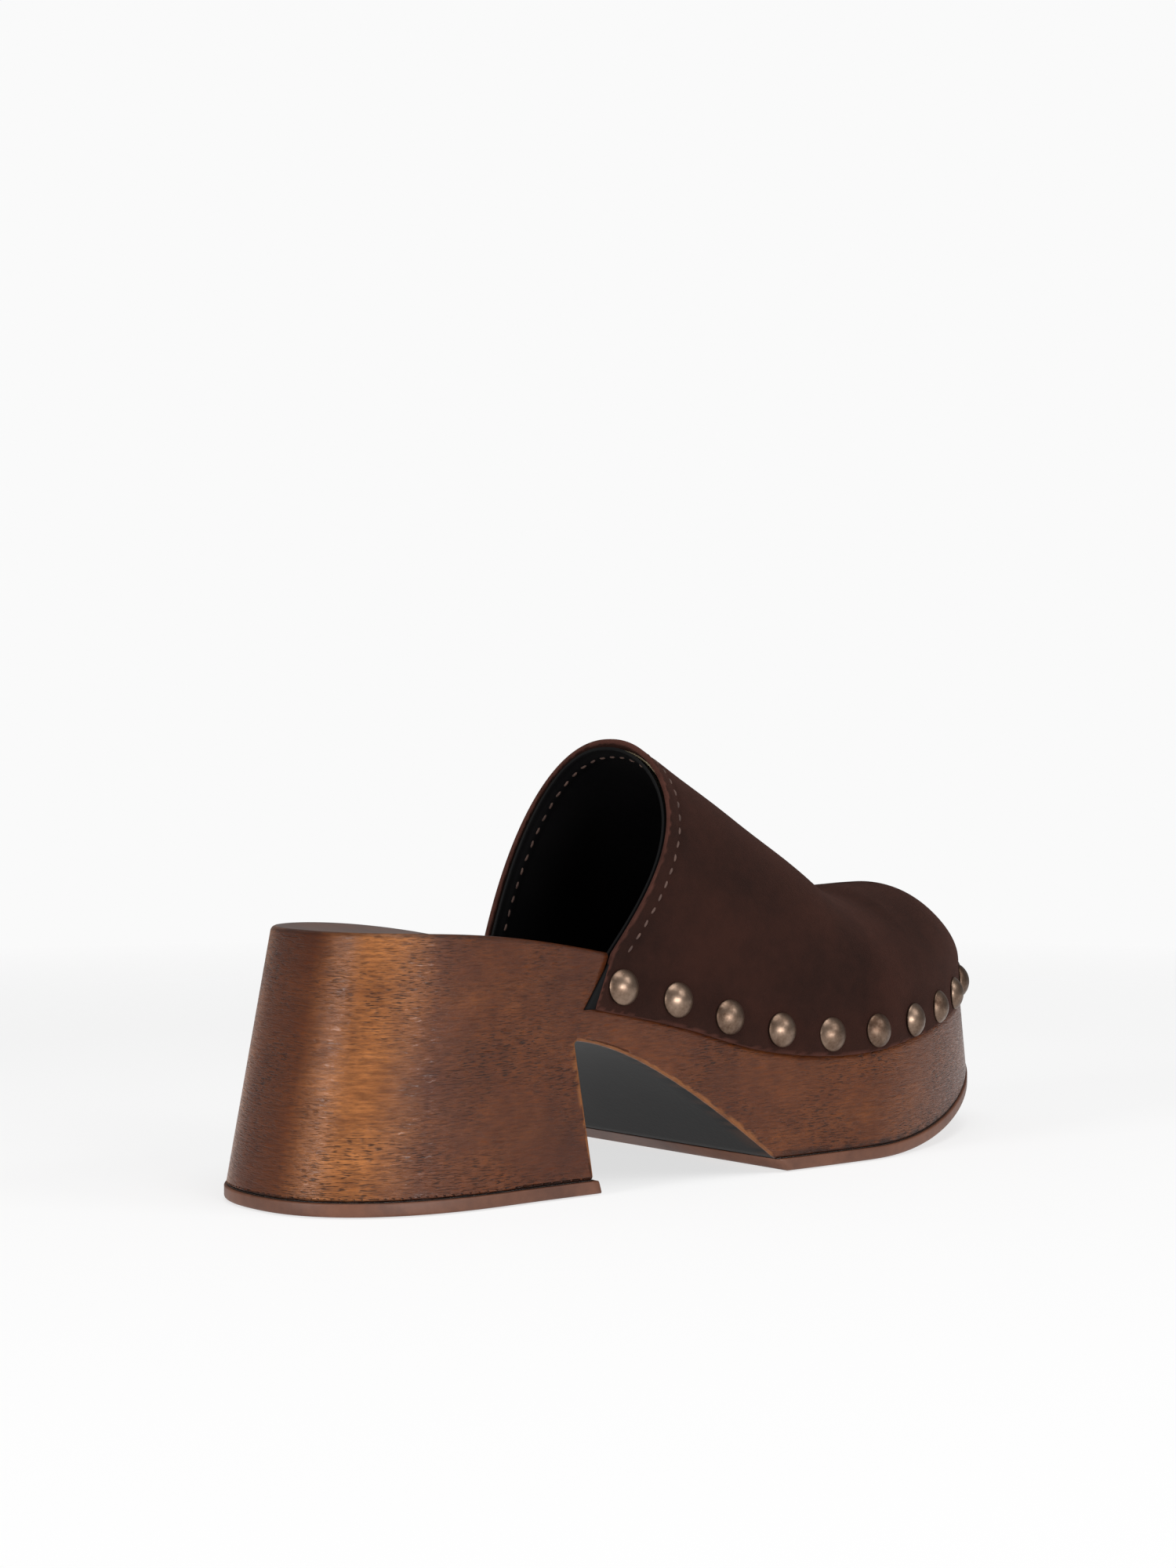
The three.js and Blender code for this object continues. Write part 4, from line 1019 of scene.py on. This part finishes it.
def wood_finish():
    """Brown stained wood under satin lacquer. Round the corners of the heel a golden band of
    painted light is mixed into the stain, and behind them the back of the heel is painted shade."""
    made, tree, shader, place = new_finish("lacquered_wood")
    grain = add_node(tree, "ShaderNodeUVMap", {}, uv_map=UV_NAME).outputs["UV"]
    way = distance(tree, add_node(tree, "ShaderNodeSeparateXYZ", {"Vector": grain}).outputs["X"], 0.0)
    # Painted light: a golden band round the corners of the heel, broken up by a grain figure.
    painted_light_band = between(tree, distance(tree, way, HEEL_CORNER), CORNER_REACH, CORNER_CORE)
    painted_light_band = combine(tree, painted_light_band, grain_figure(tree, grain, 60, 30, 3.0, 0.6, 0.3, 0.6, 0.6))
    # Painted shade: the back of the heel is darkened.
    behind = between(tree, way, PAINTED_SHADE_FROM, PAINTED_SHADE_FULL)
    bands = grain_figure(tree, grain, 14, 90, 3.0, 0.55, 0.36, 0.64)
    streaks = grain_figure(tree, grain, 200, 1300, 5.0, 0.7, 0.38, 0.62)
    blotches = grain_figure(tree, grain, 45, 110, 4.0, 0.6, 0.38, 0.62)
    gathers = grain_figure(tree, grain, 38, 50, 2.0, 0.55, 0.40, 0.62, 0.12)
    dashes = grain_figure(tree, grain, 420, 3200, 1.0, 0.55, 0.54, 0.66)
    pores = combine(tree, dashes, gathers)
    stain = use(tree, tone_group, Vector=place, Scale=24.0,
                Dark=linear(64, 29, 13), Light=linear(114, 63, 29))
    colour = blend(tree, painted_light_band, stain.outputs["Color"], linear(176, 112, 62))
    # The first layer paints shade on the back of the heel; the others are the grain.
    layers = [(behind, 0.6, (66, 30, 15)), (bands, 0.4, (92, 46, 22)), (blotches, 0.4, (72, 33, 16)),
              (streaks, 0.55, (54, 25, 12)), (pores, 0.8, (24, 12, 8))]
    for mask, strength, tint in layers:
        colour = blend(tree, combine(tree, mask, strength), colour, linear(*tint))
    edged = use(tree, edge_group, Color=colour, Vector=place,
                Worn=linear(122, 74, 38), Soot=linear(34, 17, 11))
    height = combine(tree, combine(tree, streaks, -0.5), combine(tree, pores, -1.0), "ADD")
    bump = add_node(tree, "ShaderNodeBump", {"Height": height, "Strength": 0.8, "Distance": 0.00016})
    feed(tree, shader, {
        "Base Color": edged.outputs["Color"], "Roughness": between(tree, streaks, 0.0, 1.0, 0.30, 0.42),
        "Normal": bump.outputs["Normal"], "Coat Normal": bump.outputs["Normal"],
        "Specular IOR Level": 0.12, "Coat Weight": 0.26, "Coat Roughness": 0.2})
    return made


# %% [markdown]
# ### Suede, lining, rubber, paint and metal
# Suede scatters light from its nap, so it has no clear highlight: a high roughness, some sheen
# and a fine relief. The lining is a smooth coated fabric. Rubber and paint are plain colours
# with a fine relief. The studs are brass under a brown film.

# %% The other finishes
def toned_finish(name, scale, colours, relief, settings):
    """A finish of one uneven tone between dark and light, at a scale in repeats per metre, with
    worn and darkened edges, and one fine relief of a scale, a strength and a depth. The settings
    go straight on the shader."""
    made, tree, shader, place = new_finish(name)
    dark, light, worn, darkening = (linear(*colour) for colour in colours)
    relief_scale, strength, depth = relief
    tone = use(tree, tone_group, Vector=place, Scale=scale, Dark=dark, Light=light)
    edged = use(tree, edge_group, Color=tone.outputs["Color"], Worn=worn, Soot=darkening, Vector=place)
    surface = use(tree, relief_group, Vector=place, Scale=relief_scale, Strength=strength, Depth=depth)
    looks = {"Base Color": edged.outputs["Color"], "Normal": surface.outputs["Normal"]}
    feed(tree, shader, looks | settings)
    return made


def stud_finish():
    """Antique brass: bare metal under a brown film that is darker and rougher in patches."""
    made, tree, shader, place = new_finish("antique_brass")
    tone = use(tree, tone_group, Vector=place, Scale=150.0,
               Dark=linear(84, 64, 52), Light=linear(140, 119, 103))
    surface = use(tree, relief_group, Vector=place, Scale=1500.0, Strength=0.25, Depth=0.00004)
    feed(tree, shader, {
        "Base Color": tone.outputs["Color"], "Normal": surface.outputs["Normal"], "Metallic": 1.0,
        "Roughness": between(tree, tone.outputs["Mask"], 0.0, 1.0, 0.46, 0.34)})
    return made


wood = wood_finish()
brass = stud_finish()
footbed_gloss = toned_finish(
    "footbed_lacquer", 26.0, [(70, 40, 28), (104, 64, 46), (120, 80, 60), (48, 28, 20)],
    (900.0, 0.15, 0.0001),
    {"Roughness": 0.45, "Specular IOR Level": 0.5, "Coat Weight": 0.9, "Coat Roughness": 0.34})
suede = toned_finish(
    "brown_suede", 34.0, [(28, 14, 10), (44, 23, 17), (70, 41, 34), (22, 12, 10)], (2200.0, 0.75, 0.0003),
    {"Roughness": 0.95, "Sheen Weight": 0.2, "Sheen Roughness": 0.5, "Sheen Tint": linear(150, 100, 86),
     "Specular IOR Level": 0.12})
lining_cloth = toned_finish(
    "black_lining", 60.0, [(5, 5, 6), (10, 9, 10), (12, 11, 11), (5, 5, 5)], (1400.0, 0.35, 0.0001),
    {"Roughness": 0.6, "Specular IOR Level": 0.12})
rubber = toned_finish(
    "brown_rubber", 50.0, [(76, 43, 28), (104, 64, 44), (116, 74, 52), (50, 30, 22)], (1800.0, 0.3, 0.0001),
    {"Roughness": 0.5, "Specular IOR Level": 0.45})
arch_paint = toned_finish(
    "black_paint", 40.0, [(4, 3, 3), (13, 11, 11), (52, 32, 22), (4, 3, 3)], (700.0, 0.3, 0.00012),
    {"Roughness": 0.45, "Specular IOR Level": 0.06})
thread = toned_finish(
    "sewing_thread", 400.0, [(60, 42, 36), (90, 67, 58), (90, 67, 58), (50, 36, 30)], (5000.0, 0.5, 0.0001),
    {"Roughness": 0.8})
felt = toned_finish(
    "stiffener_felt", 200.0, [(150, 136, 108), (186, 170, 138), (186, 170, 138), (120, 108, 84)],
    (3000.0, 0.6, 0.0002), {"Roughness": 0.95})
cement = toned_finish(
    "sole_cement", 300.0, [(16, 10, 8), (40, 26, 20), (60, 42, 34), (12, 8, 7)], (2200.0, 0.8, 0.0003),
    {"Roughness": 0.25})
print("finishes:", len(bpy.data.materials))

# %% Build every piece
build_sole(wood, arch_paint, footbed_gloss)
breast_x, arch_x, toe_x = BREAST_BOTTOM[0], ARCH_END[0], FLOOR["toe"]
tread("heel_tread", TREAD_PROFILE, [(-2 * RUBBER_PROUD, 0), (breast_x + RUBBER_PROUD, RUBBER_RAKE)],
      heel_bottom, HEEL_RUNGS, rubber, ["heel_top_piece"])
tread("forefoot_tread", TREAD_PROFILE, [(arch_x, RUBBER_SKIVE / WOOD_BOTTOM), (toe_x + RUBBER_PROUD, 0)],
      forefoot_bottom, FOREFOOT_RUNGS, rubber, ["forefoot_outsole"])
tread("heel_cement", CEMENT_PROFILE, [(0, 0), (breast_x - CEMENT_SHORT_OF_BREAST, 0)],
      heel_bottom, HEEL_RUNGS, cement, [])
tread("forefoot_cement", CEMENT_PROFILE, [(arch_x + CEMENT_SHORT_OF_ARCH, 0), (toe_x, 0)],
      forefoot_bottom, FOREFOOT_RUNGS, cement, [])
LINING_TURN, FELT_TURN = 0.2, 0.05
PUFF_FROM_X, TAPE_ROWS = 196, (4, len(near_topline))
puff_rows = (int(np.argmax(outer_face[:, BAND_STEPS, 0] > PUFF_FROM_X)), LAST_ROW)
all_rows, all_columns = (0, LAST_ROW), (0, LAST_COLUMN)
dome_only = (BAND_STEPS, BAND_STEPS + DOME_STEPS)
lining_depths = (LINING_DEPTH, LINING_DEPTH + LINING)
felt_depths = (STIFFENER_DEPTH, STIFFENER_DEPTH + STIFFENER)
layer("suede_shell", (0, SUEDE), all_rows, all_columns, EDGE_TURN, suede, "suede_upper")
layer("lining_shell", lining_depths, all_rows, all_columns, LINING_TURN, lining_cloth,
      "upper_lining")
layer("toe_puff_felt", felt_depths, puff_rows, dome_only, FELT_TURN, felt, "toe_puff")
layer("topline_tape_felt", felt_depths, TAPE_ROWS, dome_only, FELT_TURN, felt, "topline_tape")
for side, name in ((OUTER, "lining_lip_outer"), (INNER, "lining_lip_inner")):
    lining_lip(side, name, lining_cloth)
stitches("outer_stitches", THREAD_BED, 1, "needle_thread", thread)
stitches("inner_stitches", LINING_DEPTH + LINING - THREAD_BED, -1, "bobbin_thread", thread)
for number, (top, axis) in enumerate(studs, start=1):
    build_stud(number, top, axis, brass)

# %% [markdown]
# ## Floor, light and camera
# The shoe stands on a pale floor that runs out into an even pale background. Big soft lamps
# make long quiet highlights on the lacquer, and the world gives the fill.

# %% The floor
FLOOR_REACH, FLOOR_SIDES = 1.6, 96
FLOOR_TONE, FLOOR_GLOW = 0.3, 0.68
FADE_FROM, FADE_TO = 0.36, 0.80
FLOOR_DROP = 0.0003


def build_floor():
    """A flat disc whose rim fades out, so that floor and background are one tone. It lies a hair
    below the treads and is clear from beneath, so that the underside can be seen."""
    turn = np.linspace(0, 2 * np.pi, FLOOR_SIDES, endpoint=False)
    ring = np.stack([np.cos(turn), np.sin(turn), 0 * turn], axis=-1) * FLOOR_REACH
    ring[:, 2] = -FLOOR_DROP
    mesh = bpy.data.meshes.new("floor")
    mesh.from_pydata(ring, [], [list(range(len(ring)))])
    made, tree, shader, place = new_finish("pale_floor")
    feed(tree, shader, {
        "Base Color": (FLOOR_TONE, FLOOR_TONE, FLOOR_TONE, 1), "Roughness": 0.9, "Specular IOR Level": 0.0,
        "Emission Color": (1, 1, 1, 1), "Emission Strength": FLOOR_GLOW})
    away = add_node(tree, "ShaderNodeVectorMath", {0: place}, operation="LENGTH").outputs["Value"]
    fade = between(tree, away, FADE_FROM, FADE_TO)
    beneath = tree.nodes.new("ShaderNodeNewGeometry").outputs["Backfacing"]
    fade = combine(tree, fade, beneath, "MAXIMUM")
    clear = tree.nodes.new("ShaderNodeBsdfTransparent")
    mixed = add_node(tree, "ShaderNodeMixShader", {0: fade, 1: shader.outputs[0], 2: clear.outputs[0]})
    output = next(n for n in tree.nodes if n.type == "OUTPUT_MATERIAL")
    tree.links.new(mixed.outputs[0], output.inputs["Surface"])
    mesh.materials.append(made)
    add_object("floor", mesh)


build_floor()

# %% Light
WORLD_TONE, WORLD_FILL = 0.956, 0.24


def build_world():
    """An even pale surround: what the camera sees is one tone, what lights the shoe another."""
    world = bpy.data.worlds.new("studio")
    world.use_nodes = True
    tree = world.node_tree
    seen = tree.nodes.new("ShaderNodeLightPath").outputs["Is Camera Ray"]
    background = next(n for n in tree.nodes if n.type == "BACKGROUND")
    background.inputs["Color"].default_value = (1, 1, 1, 1)
    tree.links.new(between(tree, seen, 0.0, 1.0, WORLD_FILL, WORLD_TONE), background.inputs["Strength"])
    bpy.context.scene.world = world


SHOE_MIDDLE = mathutils.Vector((0, 0, 0.05))


def lamp(name, place, width, height, power):
    """A rectangular soft box that looks at the middle of the shoe."""
    light = bpy.data.lights.new(name, "AREA")
    light.shape, light.size, light.size_y, light.energy = "RECTANGLE", width, height, power
    thing = add_object(name, light)
    thing.location = place
    thing.rotation_euler = (SHOE_MIDDLE - thing.location).to_track_quat("-Z", "Y").to_euler()


build_world()
lamp("rear_box", (-1.45, -0.08, 0.38), 0.42, 0.6, 11)
lamp("low_side_box", (-0.22, -1.42, 0.18), 0.7, 0.35, 11)
lamp("near_side_box", (0.65, -1.1, 0.95), 0.6, 0.6, 5)
lamp("top_box", (-0.1, -0.3, 1.5), 0.9, 0.9, 10)

# %% Camera
CAMERA_PLACE = (-0.4797, -0.5362, 0.1099)
CAMERA_TURN = (89.08, 0, -40.55)
CAMERA_LENS, CAMERA_SENSOR, CAMERA_NEAR = 62.68, 36, 0.01


def build_camera():
    """A short telephoto from behind the outer side of the heel, level and low."""
    camera = bpy.data.cameras.new("camera")
    camera.lens, camera.sensor_width, camera.clip_start = CAMERA_LENS, CAMERA_SENSOR, CAMERA_NEAR
    thing = add_object("camera", camera)
    thing.location = CAMERA_PLACE
    thing.rotation_euler = np.radians(CAMERA_TURN)
    bpy.context.scene.camera = thing


build_camera()
bpy.context.scene.view_settings.view_transform = "Standard"
